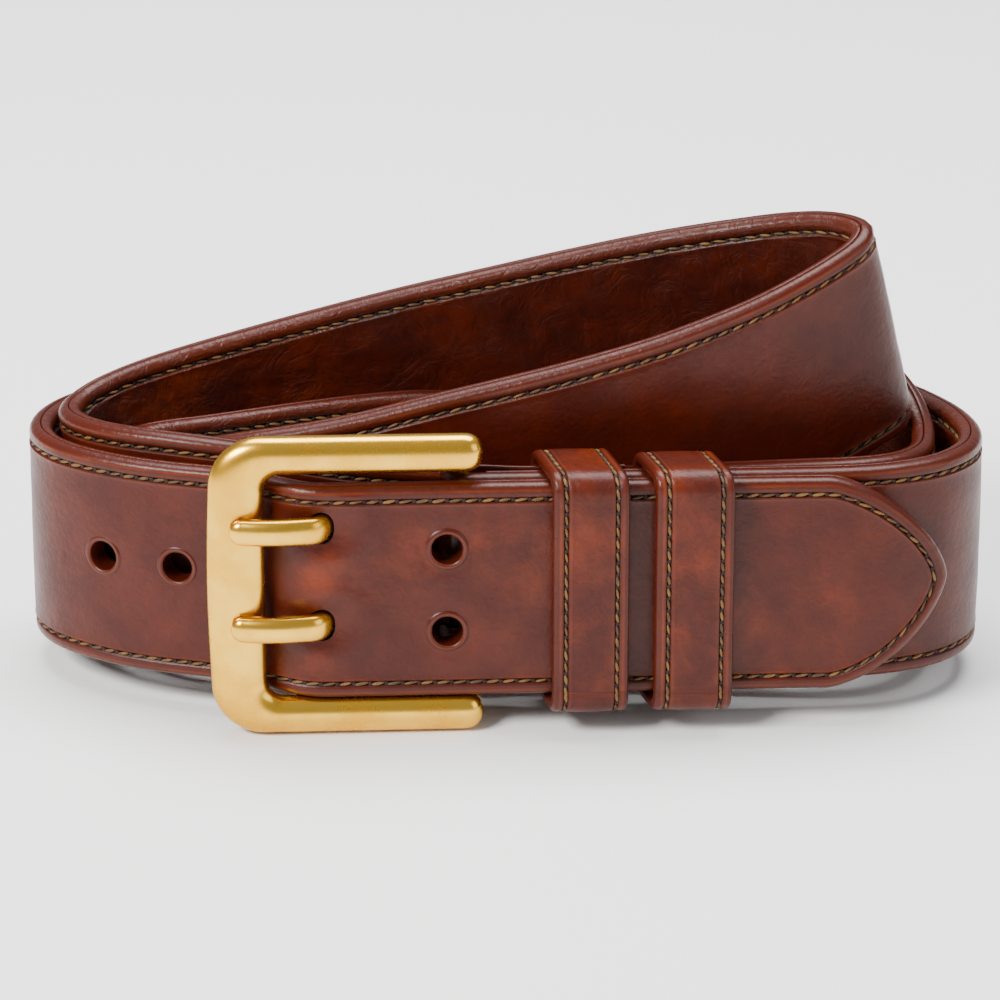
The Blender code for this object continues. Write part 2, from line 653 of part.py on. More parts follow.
def keeper_path(back_y):
    """Closed rounded rectangle of the keeper's middle line, in (y, z)."""
    half = KEEPER_THICKNESS / 2
    front = -strap_thickness / 2 - KEEPER_FRONT_GAP - half
    back = back_y + KEEPER_CLEARANCE + half
    low = -KEEPER_CLEARANCE - half
    high = STRAP_WIDTH + KEEPER_CLEARANCE + half
    corners = ((front, low, 180), (back, low, 270), (back, high, 0), (front, high, 90))
    path = []
    for y, z, start in corners:
        cy = y + KEEPER_CORNER * (1 if y == front else -1)
        cz = z + KEEPER_CORNER * (1 if z == low else -1)
        for step in range(5):
            angle = math.radians(start + 90 * step / 4)
            path.append((cy + KEEPER_CORNER * math.cos(angle), cz + KEEPER_CORNER * math.sin(angle)))
    return path


def keeper_slide(y, path):
    """A keeper sits askew: its back runs to the left of its front."""
    front = min(point[0] for point in path)
    back = max(point[0] for point in path)
    return -KEEPER_SKEW * (y - front) / (back - front)


def build_keeper(name, line, left, width, back_y):
    path = keeper_path(back_y)
    centre = np.mean(np.array(path), axis=0)
    half = KEEPER_THICKNESS / 2
    chamfer = 0.6
    rings = []
    for i, point in enumerate(path):
        before = np.array(path[i - 1])
        after = np.array(path[(i + 1) % len(path)])
        along = unit(after - before)
        out = np.array((along[1], -along[0]))
        if out @ (np.array(point) - centre) < 0:
            out = -out
        slide = keeper_slide(point[0], path)
        profile = [(0, -half + chamfer), (chamfer, -half), (width - chamfer, -half), (width, -half + chamfer),
                   (width, half - chamfer), (width - 1.6, half), (1.6, half), (0, half - chamfer)]
        rings.append([(left + slide + x, point[0] + out[0] * d, point[1] + out[1] * d) for x, d in profile])
    keeper = new_object(name, *skin(rings, closed=True), line, (0.20, 0.05, 0.02), 0.35)
    for side, x in (("left", left + KEEPER_STITCH_INSET), ("right", left + width - KEEPER_STITCH_INSET)):
        build_keeper_thread(f"{name}_thread_{side}", line, path, centre, x)
    return keeper


def build_keeper_thread(name, line, path, centre, x):
    """The thread that runs over the keeper's front, from its upper to its lower back corner."""
    count = len(path)
    order = [(11 + k) % count for k in range(count - 2)]
    points = []
    outs = []
    for i in order[2:-1]:
        before = np.array(path[i - 1])
        after = np.array(path[(i + 1) % count])
        along = unit(after - before)
        out = np.array((along[1], -along[0]))
        if out @ (np.array(path[i]) - centre) < 0:
            out = -out
        reach = KEEPER_THICKNESS / 2 + TOUCH_GAP + THREAD_RADIUS
        slide = keeper_slide(path[i][0], path)
        points.append(np.array((x + slide, path[i][0] + out[0] * reach, path[i][1] + out[1] * reach)))
        outs.append(np.array((0.0, *out)))
    new_object(name, *skin(thread_rings(points, outs)), line, (0.20, 0.12, 0.045), 0.7)


# Holes.

def strap_cutters(coil, line):
    cutters = []
    middle = strap_middle + 0.4
    for name, z in (("free_hole_upper", middle + FREE_PAIR_PITCH / 2), ("free_hole_lower", middle - FREE_PAIR_PITCH / 2)):
        reach = strap_thickness / 2 + 0.25
        shape = cylinder((FREE_PAIR_X, -reach, z), (FREE_PAIR_X, reach, z), HOLE_DIAMETER / 2)
        cutters.append(cutter(name, *shape, line))
    middle_line, along, up, out, length = strap_frames()
    turned = int(np.argmin(middle_line[: len(middle_line) // 4, 0]))
    for number, x in enumerate(SINGLE_HOLES_X, 1):
        at = int(np.argmin(np.abs(middle_line[:turned, 0] - x * spread)))
        centre = middle_line[at] + up[at] * 1.2
        reach = out[at] * (strap_thickness / 2 + 0.6)
        shape = cylinder(centre - reach, centre + reach, HOLE_DIAMETER / 2)
        cutters.append(cutter(f"single_hole_{number}", *shape, coil))
    for name, sign in (("prong_hole_upper", 1), ("prong_hole_lower", -1)):
        z = strap_middle + 3.2 + sign * PRONG_PITCH / 2
        cutters.append(cutter(name, *prong_sweep(z, PRONG_CLEARANCE), line))
    return cutters


def fold_cutters(line):
    """Slots in the fold that let the prongs' rings stand on the crossbar."""
    slots = []
    reach = CROSSBAR_RADIUS + TOUCH_GAP + PRONG_RING_WALL + FOLD_SLOT_CLEARANCE
    half = PRONG_HEIGHT / 2 + FOLD_SLOT_CLEARANCE
    for name, sign in (("fold_slot_upper", 1), ("fold_slot_lower", -1)):
        z = strap_middle + 3.2 + sign * PRONG_PITCH / 2
        low = (CROSSBAR_X - reach - 2, crossbar_y - wrap_radius - 2.0, z - half)
        high = (CROSSBAR_X + reach, crossbar_y + reach + 1.2, z + half)
        slots.append(cutter(name, *box(low, high), line))
    return slots


def lean_on_table(coil, objects):
    """Lean the belt back until the buckle's lower leg and the strap edges behind touch z = 0."""
    points = []
    for obj in objects:
        points += [obj.matrix_world @ v.co for v in obj.data.vertices]
    heights = np.array([(p.y, p.z) for p in points])
    middle_y = STRAP_WIDTH * MM / 2
    front = heights[heights[:, 0] < middle_y]
    back = heights[heights[:, 0] >= middle_y]
    angle = 0.0
    for _ in range(20):
        lean = np.array((-math.sin(angle), math.cos(angle)))
        front_point = front[np.argmin(front @ lean)]
        back_point = back[np.argmin(back @ lean)]
        angle = math.atan2(back_point[1] - front_point[1], back_point[0] - front_point[0])
    return -angle


def main():
    for obj in list(bpy.data.objects):
        bpy.data.objects.remove(obj, do_unlink=True)
    coil = empty("coil")
    line = empty("front_line", coil)
    line.rotation_euler.z = math.atan(FRONT_SLOPE)
    line.location = Vector((0, FRONT_OFFSET, 0)) * MM
    frame, bar = build_buckle(line)
    prongs = build_prongs(line, frame)
    holes = strap_cutters(coil, line)
    build_strap(coil, holes + fold_cutters(line), holes)
    build_keeper("keeper_fixed", line, FIXED_KEEPER_X, FIXED_KEEPER_WIDTH, fold_back_y)
    sliding_left = FIXED_KEEPER_X + FIXED_KEEPER_WIDTH + KEEPER_SPACING
    build_keeper("keeper_sliding", line, sliding_left, SLIDING_KEEPER_WIDTH, layer_pitch + strap_thickness / 2)
    bpy.context.view_layer.update()
    pieces = [obj for obj in bpy.data.objects if obj.type == "MESH" and not obj.hide_render]
    coil.rotation_euler.x = lean_on_table(coil, pieces)
    bpy.context.view_layer.update()
    corners = np.array([obj.matrix_world @ v.co for obj in pieces for v in obj.data.vertices])
    low, high = corners.min(axis=0), corners.max(axis=0)
    coil.location = (-(low[0] + high[0]) / 2, -(low[1] + high[1]) / 2, -low[2])


main()
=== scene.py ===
# A coiled, buckled leather belt: burnished strap with stitched lining, satin brass buckle, two keepers.
# Pieces are drawn in millimetres in the coil's own frame, then placed by the buckle's hinge.
import json
import math
import bmesh
import bpy
import numpy as np
from mathutils import Matrix, Vector, noise


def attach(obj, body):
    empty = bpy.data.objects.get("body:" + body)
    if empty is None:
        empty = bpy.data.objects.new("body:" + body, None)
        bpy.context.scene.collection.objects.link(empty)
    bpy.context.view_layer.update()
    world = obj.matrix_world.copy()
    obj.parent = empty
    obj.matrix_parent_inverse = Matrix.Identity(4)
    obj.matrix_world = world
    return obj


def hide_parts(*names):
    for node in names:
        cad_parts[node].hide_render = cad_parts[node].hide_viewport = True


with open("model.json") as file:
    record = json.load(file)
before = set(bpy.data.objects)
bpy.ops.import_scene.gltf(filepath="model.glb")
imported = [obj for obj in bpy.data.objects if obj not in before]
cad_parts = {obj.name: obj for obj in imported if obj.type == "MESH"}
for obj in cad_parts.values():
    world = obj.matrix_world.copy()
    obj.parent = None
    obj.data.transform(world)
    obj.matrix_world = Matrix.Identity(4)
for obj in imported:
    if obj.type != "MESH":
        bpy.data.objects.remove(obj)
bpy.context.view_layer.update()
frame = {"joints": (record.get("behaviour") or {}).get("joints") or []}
mm = 0.001

strap = {
    "width": 40.0,
    "thickness": 4.2,
    "pitch": 4.7,            # middle of one turn to the middle of the next, buckled
    "tipLength": 22.0,
    "tipRoundness": 1.5,
    "stitchInset": 2.9,
    "edgeRound": 1.35,
    "frontOffset": -1.2,
    "frontSlope": 0.05,
    "columnStep": 1.7,
    "fineStretch": (74.0, 122.0, 0.7),   # from, to and step of the finer columns round the prongs and holes
    "grooveDepth": 0.62,
    "liningStop": 4.25,      # lining and outer seam end this far before the crossbar, the inner seam a bit more
    "innerSeamStop": 5.0,
    "foldGap": 0.26,
}

# Each row: middle of the top edge (x, y), its rise, and how far the lower edge stands from below it.
leftOuterTurn = [
    (-33.0, -2.6, 0, 0, 0), (-38.0, -0.2, 0, 0, 0), (-42.5, 2.8, 0, 0, 0), (-47.5, 5.1, 0, 0, 0),
    (-52.5, 6.6, 0, 0, 0), (-60.0, 8.8, 0, 0, 0), (-67.0, 11.7, 0, 0, 0), (-74.0, 16.0, 0, 0, 0),
    (-80.3, 22.0, 0, 0, 0), (-83.4, 29.5, 0, 0, 0), (-82.8, 38.0, 0, 0, 0), (-79.0, 45.8, 0, 0, 0),
]
backRamp = [
    (-71.0, 52.6, 0.5, 0, 1), (-58.0, 58.4, 3, 0, 2), (-42.0, 61.8, 7, 0, 2), (-22.0, 63.0, 13, 0, 2),
    (-2.0, 63.2, 18.5, 0, 2), (15.0, 63.0, 23, 0, 1), (27.0, 63.0, 25.5, 0, -1), (36.0, 63.1, 25.5, 0, -3),
    (44.0, 62.8, 23.8, 1, -6), (51.5, 61.0, 20.5, 2, -7), (58.5, 57.7, 15.6, 3, -7),
    (65.0, 53.8, 10.5, 3, -5), (71.0, 49.0, 6.5, 2, -3), (75.3, 42.6, 2.6, 0, 0),
]
rightSecondTurn = [
    (77.0, 35.8, -0.4, 0, 0), (76.9, 29.5, -1.4, 0, 0), (75.6, 23.0, -1.5, 0, 0),
    (71.5, 17.2, -1.2, 0, 0), (64.0, 13.9, -1, 0, 0), (54.0, 13.4, -1.2, 0, 0),
    (42.0, 14.2, -2, 0, 0), (25.0, 15.0, -3, 0, 0), (8.0, 14.4, -3.2, 0, 0),
    (-8.0, 13.2, -2.5, 0, 0), (-20.0, 12.4, -1.5, 0, 0), (-31.0, 11.8, 0, 0, 0),
    (-43.0, 12.0, 2.2, 0, 0), (-53.0, 13.3, 3.2, 0, 0),
]
leftSecondTurn = [
    (-62.0, 16.1, 3.4, 1, 0), (-69.5, 20.1, 3.1, 2, 0), (-75.4, 25.0, 2.9, 4, 0),
    (-78.4, 31.0, 2.7, 5, 0), (-77.8, 37.0, 2.9, 6, 1), (-74.4, 41.0, 4.3, 7, 3),
    (-68.3, 44.1, 6.2, 8, 5),
]
raisedLoop = [
    (-61.5, 46.1, 8, 8, 7), (-48.0, 48.4, 11.4, 8, 8), (-33.2, 49.9, 15.2, 8, 8),
    (-18.4, 50.4, 19, 9, 8), (-3.6, 50.2, 22.6, 9, 8), (11.0, 49.4, 26.3, 9, 8),
    (25.6, 47.7, 30.0, 9, 8), (36.2, 45.4, 32.6, 9, 8), (43.0, 43.5, 34.2, 9, 8),
    (50.0, 40.7, 36.0, 9, 8), (56.8, 36.6, 37.6, 9, 8), (62.0, 31.9, 38.3, 9, 8),
    (64.4, 27.6, 38.0, 9, 8), (63.0, 24.4, 36.3, 9, 8), (58.8, 22.0, 33.9, 9, 8),
    (53.5, 19.7, 31.3, 9, 8), (48.0, 17.9, 28.8, 9, 8), (42.5, 16.9, 26.4, 9, 8),
    (35.5, 16.1, 23.7, 9, 8), (26.6, 15.5, 20.5, 9, 8), (10.7, 15.0, 15.9, 9, 8),
    (-3.0, 15.0, 12.4, 8, 8), (-14.0, 15.2, 9.6, 7, 7), (-24.6, 15.6, 6.7, 5, 6),
    (-35.0, 16.2, 4.4, 3, 4), (-45.7, 17.4, 2.4, 1, 2),
]
leftInnerTurn = [
    (-55.0, 20.2, 0, 0, 0), (-62.0, 24.3, -1.7, 0, 0), (-66.2, 29.0, -2.2, 0, 0),
    (-66.0, 34.0, -2.2, 0, 0), (-61.5, 37.2, -2.2, 0, 0), (-55.0, 39.0, -2, 0, 0),
    (-46.0, 41.6, -1.5, 0, 0), (-37.0, 44.2, -1, 0, 0), (-20.0, 48.2, -0.3, 0, 0),
    (-11.0, 49.5, -0.4, 0, -4),
]
underpass = [
    (-2.5, 50.3, -1.3, 1, -12), (7.0, 51.7, -5.2, 4, -21), (16.5, 55.5, -14, 11, -28),
    (25.0, 61.0, -18, 16, -29), (33.0, 66.5, -17.5, 17, -28), (41.0, 70.6, -14, 14, -27),
    (49.0, 73.0, -9.5, 9, -24), (57.0, 72.6, -5, 4, -18), (64.5, 69.0, -2.2, 2, -12),
    (71.0, 63.0, -1.4, 1, -7), (76.0, 55.2, -1, 0, -3),
]
rightOuterTurn = [
    (79.8, 47.0, -0.4, 0, 0), (83.2, 38.5, 0, 0, 0), (85.1, 30.5, 0, 0, 0),
    (84.9, 24.4, 0, 0, 0), (83.0, 18.6, 0, 0, 0), (78.0, 12.6, 0, 0, 0), (71.0, 8.9, 0, 0, 0),
    (64.0, 7.1, 0, 0, 0),
]
tipReach = [(79.2, 6.5, 0, 0, 0), (72.4, 3.5, 0, 0, 0), (65.0, 1.8, 0, 0, 0)]
frontRows = (54.0, 34.0, 10.0, -12.0, -26.0)

buckle = {
    "left": -51.2, "right": -3.0,
    "low": 0.0, "high": 41.8,   # the window the strap stands in
    "legHeight": 6.9, "barWidth": 9.8, "barBow": 0.5,
    "depth": 5.5, "middleY": 0.5,
    "outerCorner": 9.5, "innerCorner": 3.2,
    "squareness": 2.15,
    "crossbarX": -6.4, "crossbarY": 6.6, "crossbarRadius": 1.75,
    "lugRadius": 3.3, "lugHeight": 3.4, "seat": 2.4,
    "endReach": 3.6, "endPower": 2.5,   # how far back from its end a leg starts to round off
}


def linePoint(x, depth, z=0.0):
    angle = math.atan(strap["frontSlope"])
    return np.array((x * math.cos(angle) - depth * math.sin(angle),
                     strap["frontOffset"] + x * math.sin(angle) + depth * math.cos(angle), z))


def lineCoordinates(points):
    angle = math.atan(strap["frontSlope"])
    x, y = points[..., 0], points[..., 1] - strap["frontOffset"]
    return x * math.cos(angle) + y * math.sin(angle), points[..., 2]


# The hinge stands upright on the crossbar, so it gives the coil's lean and place.
hinge = next(j for j in frame["joints"] if j["name"] == "buckle_swing")
hingeAxis = Vector(hinge["axis"])
lean = Matrix.Rotation(-math.atan2(hingeAxis.y, hingeAxis.z), 4, "X")
crossbarMiddle = Vector(linePoint(buckle["crossbarX"], buckle["crossbarY"], strap["width"] / 2)) * mm
coilToWorld = Matrix.Translation(Vector(hinge["pos_m"]) - lean @ crossbarMiddle) @ lean
coilArray = np.array(coilToWorld)


def toWorld(points):
    return (np.asarray(points, float) * mm) @ coilArray[:3, :3].T + coilArray[:3, 3]


def unit(vectors):
    return vectors / np.linalg.norm(vectors, axis=-1, keepdims=True)


def smoothRows(rows, steps=12):
    points = [np.array(row, float) for row in rows]
    points = [2 * points[0] - points[1]] + points + [2 * points[-1] - points[-2]]
    curve = []
    for before, start, end, after in zip(points, points[1:], points[2:], points[3:]):
        knots = [0.0]
        for a, b in ((before, start), (start, end), (end, after)):
            knots.append(knots[-1] + max(np.linalg.norm(b[:3] - a[:3]), 1e-6) ** 0.5)
        k0, k1, k2, k3 = knots
        for step in range(steps):
            t = k1 + (k2 - k1) * step / steps
            a1 = ((k1 - t) * before + (t - k0) * start) / (k1 - k0)
            a2 = ((k2 - t) * start + (t - k1) * end) / (k2 - k1)
            a3 = ((k3 - t) * end + (t - k2) * after) / (k3 - k2)
            b1 = ((k2 - t) * a1 + (t - k0) * a2) / (k2 - k0)
            b2 = ((k3 - t) * a2 + (t - k1) * a3) / (k3 - k1)
            curve.append(((k2 - t) * b1 + (t - k1) * b2) / (k2 - k1))
    curve.append(points[-2])
    return np.array(curve)


def softened(rows, reach=6):
    before = 2 * rows[0] - rows[reach:0:-1]
    after = 2 * rows[-1] - rows[-2:-2 - reach:-1]
    padded = np.vstack((before, rows, after))
    weights = np.hanning(2 * reach + 3)[1:-1]
    weights /= weights.sum()
    return np.column_stack([np.convolve(column, weights, "valid") for column in padded.T])


def strapPath():
    front = [(*linePoint(x, 0)[:2], 0, 0, 0) for x in frontRows]
    under = [(*linePoint(x, strap["pitch"])[:2], 0, 0, 0) for x in (*frontRows[:3], buckle["crossbarX"])]
    rows = tipReach + front + leftOuterTurn + backRamp + rightSecondTurn + leftSecondTurn
    rows = rows + raisedLoop + leftInnerTurn + underpass + rightOuterTurn + under
    rows = softened(smoothRows(rows))
    top = np.column_stack((rows[:, 0], rows[:, 1], strap["width"] + rows[:, 2]))
    drop = np.sqrt(np.maximum(strap["width"] ** 2 - rows[:, 3] ** 2 - rows[:, 4] ** 2, 1.0))
    up = unit(np.column_stack((-rows[:, 3], -rows[:, 4], drop)))
    slant = 1 / np.linalg.norm(np.cross(unit(np.gradient(top, axis=0)), up), axis=1)
    middle = top - up * (slant * strap["width"] / 2)[:, None]
    along = unit(np.gradient(middle, axis=0))
    out = unit(np.cross(up, along))
    length = np.concatenate(([0.0], np.cumsum(np.linalg.norm(np.diff(middle, axis=0), axis=1))))
    return {"s": length, "point": middle, "up": up * slant[:, None], "out": out}


def withFold(path):
    radius = buckle["crossbarY"] - strap["pitch"]
    foldY = strap["pitch"] + strap["thickness"] / 2 + strap["foldGap"]
    plan = [(buckle["crossbarX"] - radius * math.sin(math.pi * k / 16),
             buckle["crossbarY"] - radius * math.cos(math.pi * k / 16)) for k in range(1, 17)]
    backY = buckle["crossbarY"] + radius
    for k in range(1, 11):
        t = k / 10
        plan.append((buckle["crossbarX"] + 11.9 * t, backY + (foldY - backY) * t * t * (3 - 2 * t)))
    plan += [(buckle["crossbarX"] + x, foldY) for x in (16.0, 20.0, 24.0, 28.9)]
    flat = np.array([linePoint(x, y, strap["width"] / 2) for x, y in plan])
    whole = np.vstack((path["point"][-1:], flat))
    along = unit(np.gradient(whole, axis=0))[1:]
    up = np.tile((0.0, 0.0, 1.0), (len(flat), 1))
    steps = np.linalg.norm(np.diff(whole, axis=0), axis=1)
    return {"s": np.concatenate((path["s"], path["s"][-1] + np.cumsum(steps))),
            "point": np.vstack((path["point"], flat)),
            "up": np.vstack((path["up"], up)),
            "out": np.vstack((path["out"], unit(np.cross(up, along))))}


def at(path, key, s):
    return np.stack([np.interp(s, path["s"], axis) for axis in path[key].T], axis=-1)


def linked(name, data):
    obj = bpy.data.objects.new(name, data)
    bpy.context.scene.collection.objects.link(obj)
    return obj


def closedUp(mesh, smooth, distance=1e-7, sliver=0.0):
    finish = bmesh.new()
    finish.from_mesh(mesh)
    bmesh.ops.remove_doubles(finish, verts=finish.verts, dist=distance)
    if sliver:
        bmesh.ops.dissolve_degenerate(finish, edges=finish.edges, dist=sliver)
    bmesh.ops.recalc_face_normals(finish, faces=finish.faces)
    finish.to_mesh(mesh)
    finish.free()
    mesh.shade_smooth()
    mesh.set_sharp_from_angle(angle=math.radians(smooth))


def newObject(name, points, faces, material, smooth=40):
    mesh = bpy.data.meshes.new(name)
    mesh.from_pydata([tuple(p) for p in toWorld(points)], [], faces)
    obj = linked(name, mesh)
    if material:
        mesh.materials.append(material)
    closedUp(mesh, smooth)
    return obj


def pointValues(mesh, name, values, kind="FLOAT", field="value"):
    data = mesh.attributes.new(name, kind, "POINT")
    data.data.foreach_set(field, np.asarray(values, np.float32).ravel())


def flowMap(mesh, along, across):
    flow = mesh.uv_layers.new(name="flow")
    loops = np.empty(len(mesh.loops), int)
    mesh.loops.foreach_get("vertex_index", loops)
    flow.data.foreach_set("uv", (np.column_stack((along, across))[loops] * mm).astype(np.float32).ravel())


def applied(obj, smooth=40):
    graph = bpy.context.evaluated_depsgraph_get()
    made = bpy.data.meshes.new_from_object(obj.evaluated_get(graph), preserve_all_data_layers=True,
                                           depsgraph=graph)
    obj.modifiers.clear()
    obj.data = made
    made.shade_smooth()
    made.set_sharp_from_angle(angle=math.radians(smooth))
    return obj


def cut(obj, tools, operation="DIFFERENCE", smooth=40):
    for tool in tools:
        step = obj.modifiers.new(tool.name, "BOOLEAN")
        step.operation = operation
        step.solver = "EXACT"
        step.object = tool
    applied(obj, smooth)
    for tool in tools:
        bpy.data.objects.remove(tool)


def tubeFaces(rings, sides, closed=False, capped=True):
    faces = []
    last = rings if closed else rings - 1
    for a in range(last):
        b = (a + 1) % rings
        for k in range(sides):
            n = (k + 1) % sides
            faces.append((a * sides + k, a * sides + n, b * sides + n, b * sides + k))
    if capped and not closed:
        faces.append(tuple(reversed(range(sides))))
        faces.append(tuple((rings - 1) * sides + k for k in range(sides)))
    return faces


def put(tree, kind, inputs=None, **settings):
    made = tree.nodes.new(kind)
    for key, value in settings.items():
        setattr(made, key, value)
    for key, value in (inputs or {}).items():
        if isinstance(value, bpy.types.NodeSocket):
            tree.links.new(value, made.inputs[key])
        else:
            made.inputs[key].default_value = value
    return made


def give(tree, kind, inputs=None, **settings):
    return put(tree, kind, inputs, **settings).outputs[0]


def rise(tree, value, low, high, toLow=0.0, toHigh=1.0):
    made = put(tree, "ShaderNodeMapRange", {"Value": value, "From Min": low, "From Max": high,
                                            "To Min": toLow, "To Max": toHigh},
               interpolation_type="SMOOTHSTEP")
    return made.outputs["Result"]


def times(tree, a, b, operation="MULTIPLY"):
    return give(tree, "ShaderNodeMath", {0: a, 1: b}, operation=operation)


def band(tree, value, rising, falling):
    return times(tree, rise(tree, value, *rising), rise(tree, value, *falling))


def blend(tree, factor, a, b, mode="MIX"):
    made = put(tree, "ShaderNodeMix", {0: factor, 6: a, 7: b}, data_type="RGBA", blend_type=mode)
    return made.outputs[2]


def pattern(tree, place, scale, **more):
    inputs = {"Vector": place, "Scale": scale}
    inputs.update({key.capitalize(): value for key, value in more.items()})
    return put(tree, "ShaderNodeTexNoise", inputs).outputs["Fac"]


def namedSockets(tree, side, sockets):
    for name, kind, default in sockets:
        socket = tree.interface.new_socket(name, in_out=side, socket_type="NodeSocket" + kind)
        if default is not None:
            socket.default_value = default


def hideGroup():
    tree = bpy.data.node_groups.new("hideSurface", "ShaderNodeTree")
    namedSockets(tree, "INPUT", (("Place", "Vector", None), ("Grain Size", "Float", 0.9),
                                 ("Wrinkle Size", "Float", 4.0), ("Wrinkling", "Float", 0.5)))
    namedSockets(tree, "OUTPUT", [(name, "Float", None) for name in ("Height", "Cloud", "Vein")])
    given = put(tree, "NodeGroupInput")
    result = put(tree, "NodeGroupOutput")
    grainScale = times(tree, 1000.0, given.outputs["Grain Size"], "DIVIDE")
    wrinkleScale = times(tree, 1000.0, given.outputs["Wrinkle Size"], "DIVIDE")
    place = given.outputs["Place"]
    pebble = put(tree, "ShaderNodeTexVoronoi", {"Vector": place, "Scale": grainScale, "Randomness": 1.0},
                 feature="SMOOTH_F1")
    fine = pattern(tree, place, times(tree, grainScale, 0.55), detail=5.0, roughness=0.62, distortion=0.8)
    crease = pattern(tree, place, wrinkleScale, detail=6.0, roughness=0.6, distortion=1.6)
    ridge = times(tree, times(tree, crease, 0.5, "SUBTRACT"), 0.0, "ABSOLUTE")
    vein = rise(tree, ridge, 0.0, 0.09)
    cloud = pattern(tree, place, 75.0, detail=7.0, roughness=0.66, distortion=0.3)
    height = times(tree, times(tree, pebble.outputs["Distance"], -0.28), times(tree, fine, 0.5), "ADD")
    height = times(tree, height, times(tree, times(tree, vein, given.outputs["Wrinkling"]), 0.9), "ADD")
    for name, value in (("Height", height), ("Cloud", cloud), ("Vein", vein)):
        tree.links.new(value, result.inputs[name])
    return tree


hide = hideGroup()
# In each look, "line" is a painted highlight colour for the edge lip and the seam shoulder, and "groove" is
# painted shade for the stitch groove; the other colours are the leather's own.
leatherLook = {
    "deep": (0.046, 0.0044, 0.0010), "body": (0.070, 0.0074, 0.0014), "warm": (0.20, 0.028, 0.002),
    "edge": (0.052, 0.0064, 0.0021), "line": (0.15, 0.026, 0.006), "groove": (0.013, 0.0032, 0.0014),
}


def colour(rgb):
    return (*rgb, 1.0)


def freshMaterial(name):
    material = bpy.data.materials.new(name)
    material.use_nodes = True
    tree = material.node_tree
    tree.nodes.clear()
    shader = put(tree, "ShaderNodeBsdfPrincipled")
    tree.links.new(shader.outputs[0], put(tree, "ShaderNodeOutputMaterial").inputs[0])
    return material, tree, shader


def relief(tree, shader, height, strength, distance):
    bump = give(tree, "ShaderNodeBump", {"Height": height, "Strength": strength, "Distance": distance})
    tree.links.new(bump, shader.inputs["Normal"])


def leatherMaterial(name, look, stitchInset, wrinkling, grain=0.9, wrinkle=4.5, bump=0.42):
    material, tree, shader = freshMaterial(name)
    place = give(tree, "ShaderNodeUVMap", uv_map="flow")
    inset = put(tree, "ShaderNodeAttribute", attribute_name="inset").outputs["Fac"]
    glow = put(tree, "ShaderNodeAttribute", attribute_name="glow").outputs["Fac"]
    skin = put(tree, "ShaderNodeGroup", node_tree=hide)
    for key, value in (("Grain Size", grain), ("Wrinkle Size", wrinkle), ("Wrinkling", wrinkling)):
        skin.inputs[key].default_value = value
    tree.links.new(place, skin.inputs["Place"])
    cloud = skin.outputs["Cloud"]
    shade = blend(tree, rise(tree, cloud, 0.32, 0.66), colour(look["deep"]), colour(look["body"]))
    warmth = times(tree, rise(tree, times(tree, cloud, times(tree, glow, 0.40), "ADD"), 0.58, 1.15), 0.85)
    shade = blend(tree, warmth, shade, colour(look["warm"]))
    veinShade = rise(tree, skin.outputs["Vein"], 0.0, 1.0, 0.93, 1.0)
    veinGrey = give(tree, "ShaderNodeCombineColor", {0: veinShade, 1: veinShade, 2: veinShade})
    shade = blend(tree, 1.0, shade, veinGrey, "MULTIPLY")
    rim = rise(tree, inset, stitchInset - 0.5, stitchInset - 1.6)
    shade = blend(tree, times(tree, rim, 0.75), shade, colour(look["edge"]))
    # Painted highlights: the lighter "line" colour along the rounded edge lip and on the shoulder just inside the
    # seam, broken up by the cloud noise.
    highlightBreakup = rise(tree, cloud, 0.35, 0.7, 0.35, 1.0)
    edgeHighlight = band(tree, inset, (0.75, 1.15), (1.6, 1.2))
    shade = blend(tree, times(tree, times(tree, edgeHighlight, highlightBreakup), 0.75), shade, colour(look["line"]))
    shoulderHighlight = band(tree, inset, (stitchInset + 0.45, stitchInset + 0.75), (stitchInset + 1.2, stitchInset + 0.8))
    shade = blend(tree, times(tree, times(tree, shoulderHighlight, highlightBreakup), 0.35), shade, colour(look["line"]))
    # Painted shade: the near-black "groove" colour darkens the stitch groove.
    grooveShade = band(tree, inset, (stitchInset - 0.55, stitchInset - 0.3), (stitchInset + 0.5, stitchInset + 0.28))
    shade = blend(tree, times(tree, grooveShade, 0.85), shade, colour(look["groove"]))
    tree.links.new(shade, shader.inputs["Base Color"])
    rough = rise(tree, cloud, 0.3, 0.7, 0.44, 0.35)
    rough = times(tree, rough, times(tree, rim, -0.06), "ADD")
    tree.links.new(rough, shader.inputs["Roughness"])
    for key, value in (("Specular IOR Level", 0.24), ("Coat Weight", 0.04), ("Coat Roughness", 0.22)):
        shader.inputs[key].default_value = value
    relief(tree, shader, skin.outputs["Height"], bump, 0.00035)
    return material


def brassMaterial():
    material, tree, shader = freshMaterial("satinBrass")
    place = put(tree, "ShaderNodeTexCoord").outputs["Object"]
    smudge = pattern(tree, place, 110.0, detail=4.0, roughness=0.6)
    fine = pattern(tree, place, 2600.0, detail=3.0, roughness=0.6)
    # paintedShade: painted shade, the prong shank behind the strap is coloured near-black and made duller
    paintedShade = put(tree, "ShaderNodeAttribute", attribute_name="paintedShade").outputs["Fac"]
    polished = rise(tree, smudge, 0.35, 0.68)
    shade = blend(tree, polished, colour((0.76, 0.40, 0.030)), colour((0.88, 0.51, 0.060)))
    shade = blend(tree, paintedShade, shade, colour((0.018, 0.010, 0.004)))
    tree.links.new(shade, shader.inputs["Base Color"])
    rough = times(tree, rise(tree, smudge, 0.3, 0.7, 0.27, 0.20), times(tree, fine, 0.05), "ADD")
    rough = times(tree, rough, times(tree, paintedShade, 0.4), "ADD")
    tree.links.new(rough, shader.inputs["Roughness"])
    shader.inputs["Metallic"].default_value = 1.0
    relief(tree, shader, fine, 0.10, 0.00006)
    return material


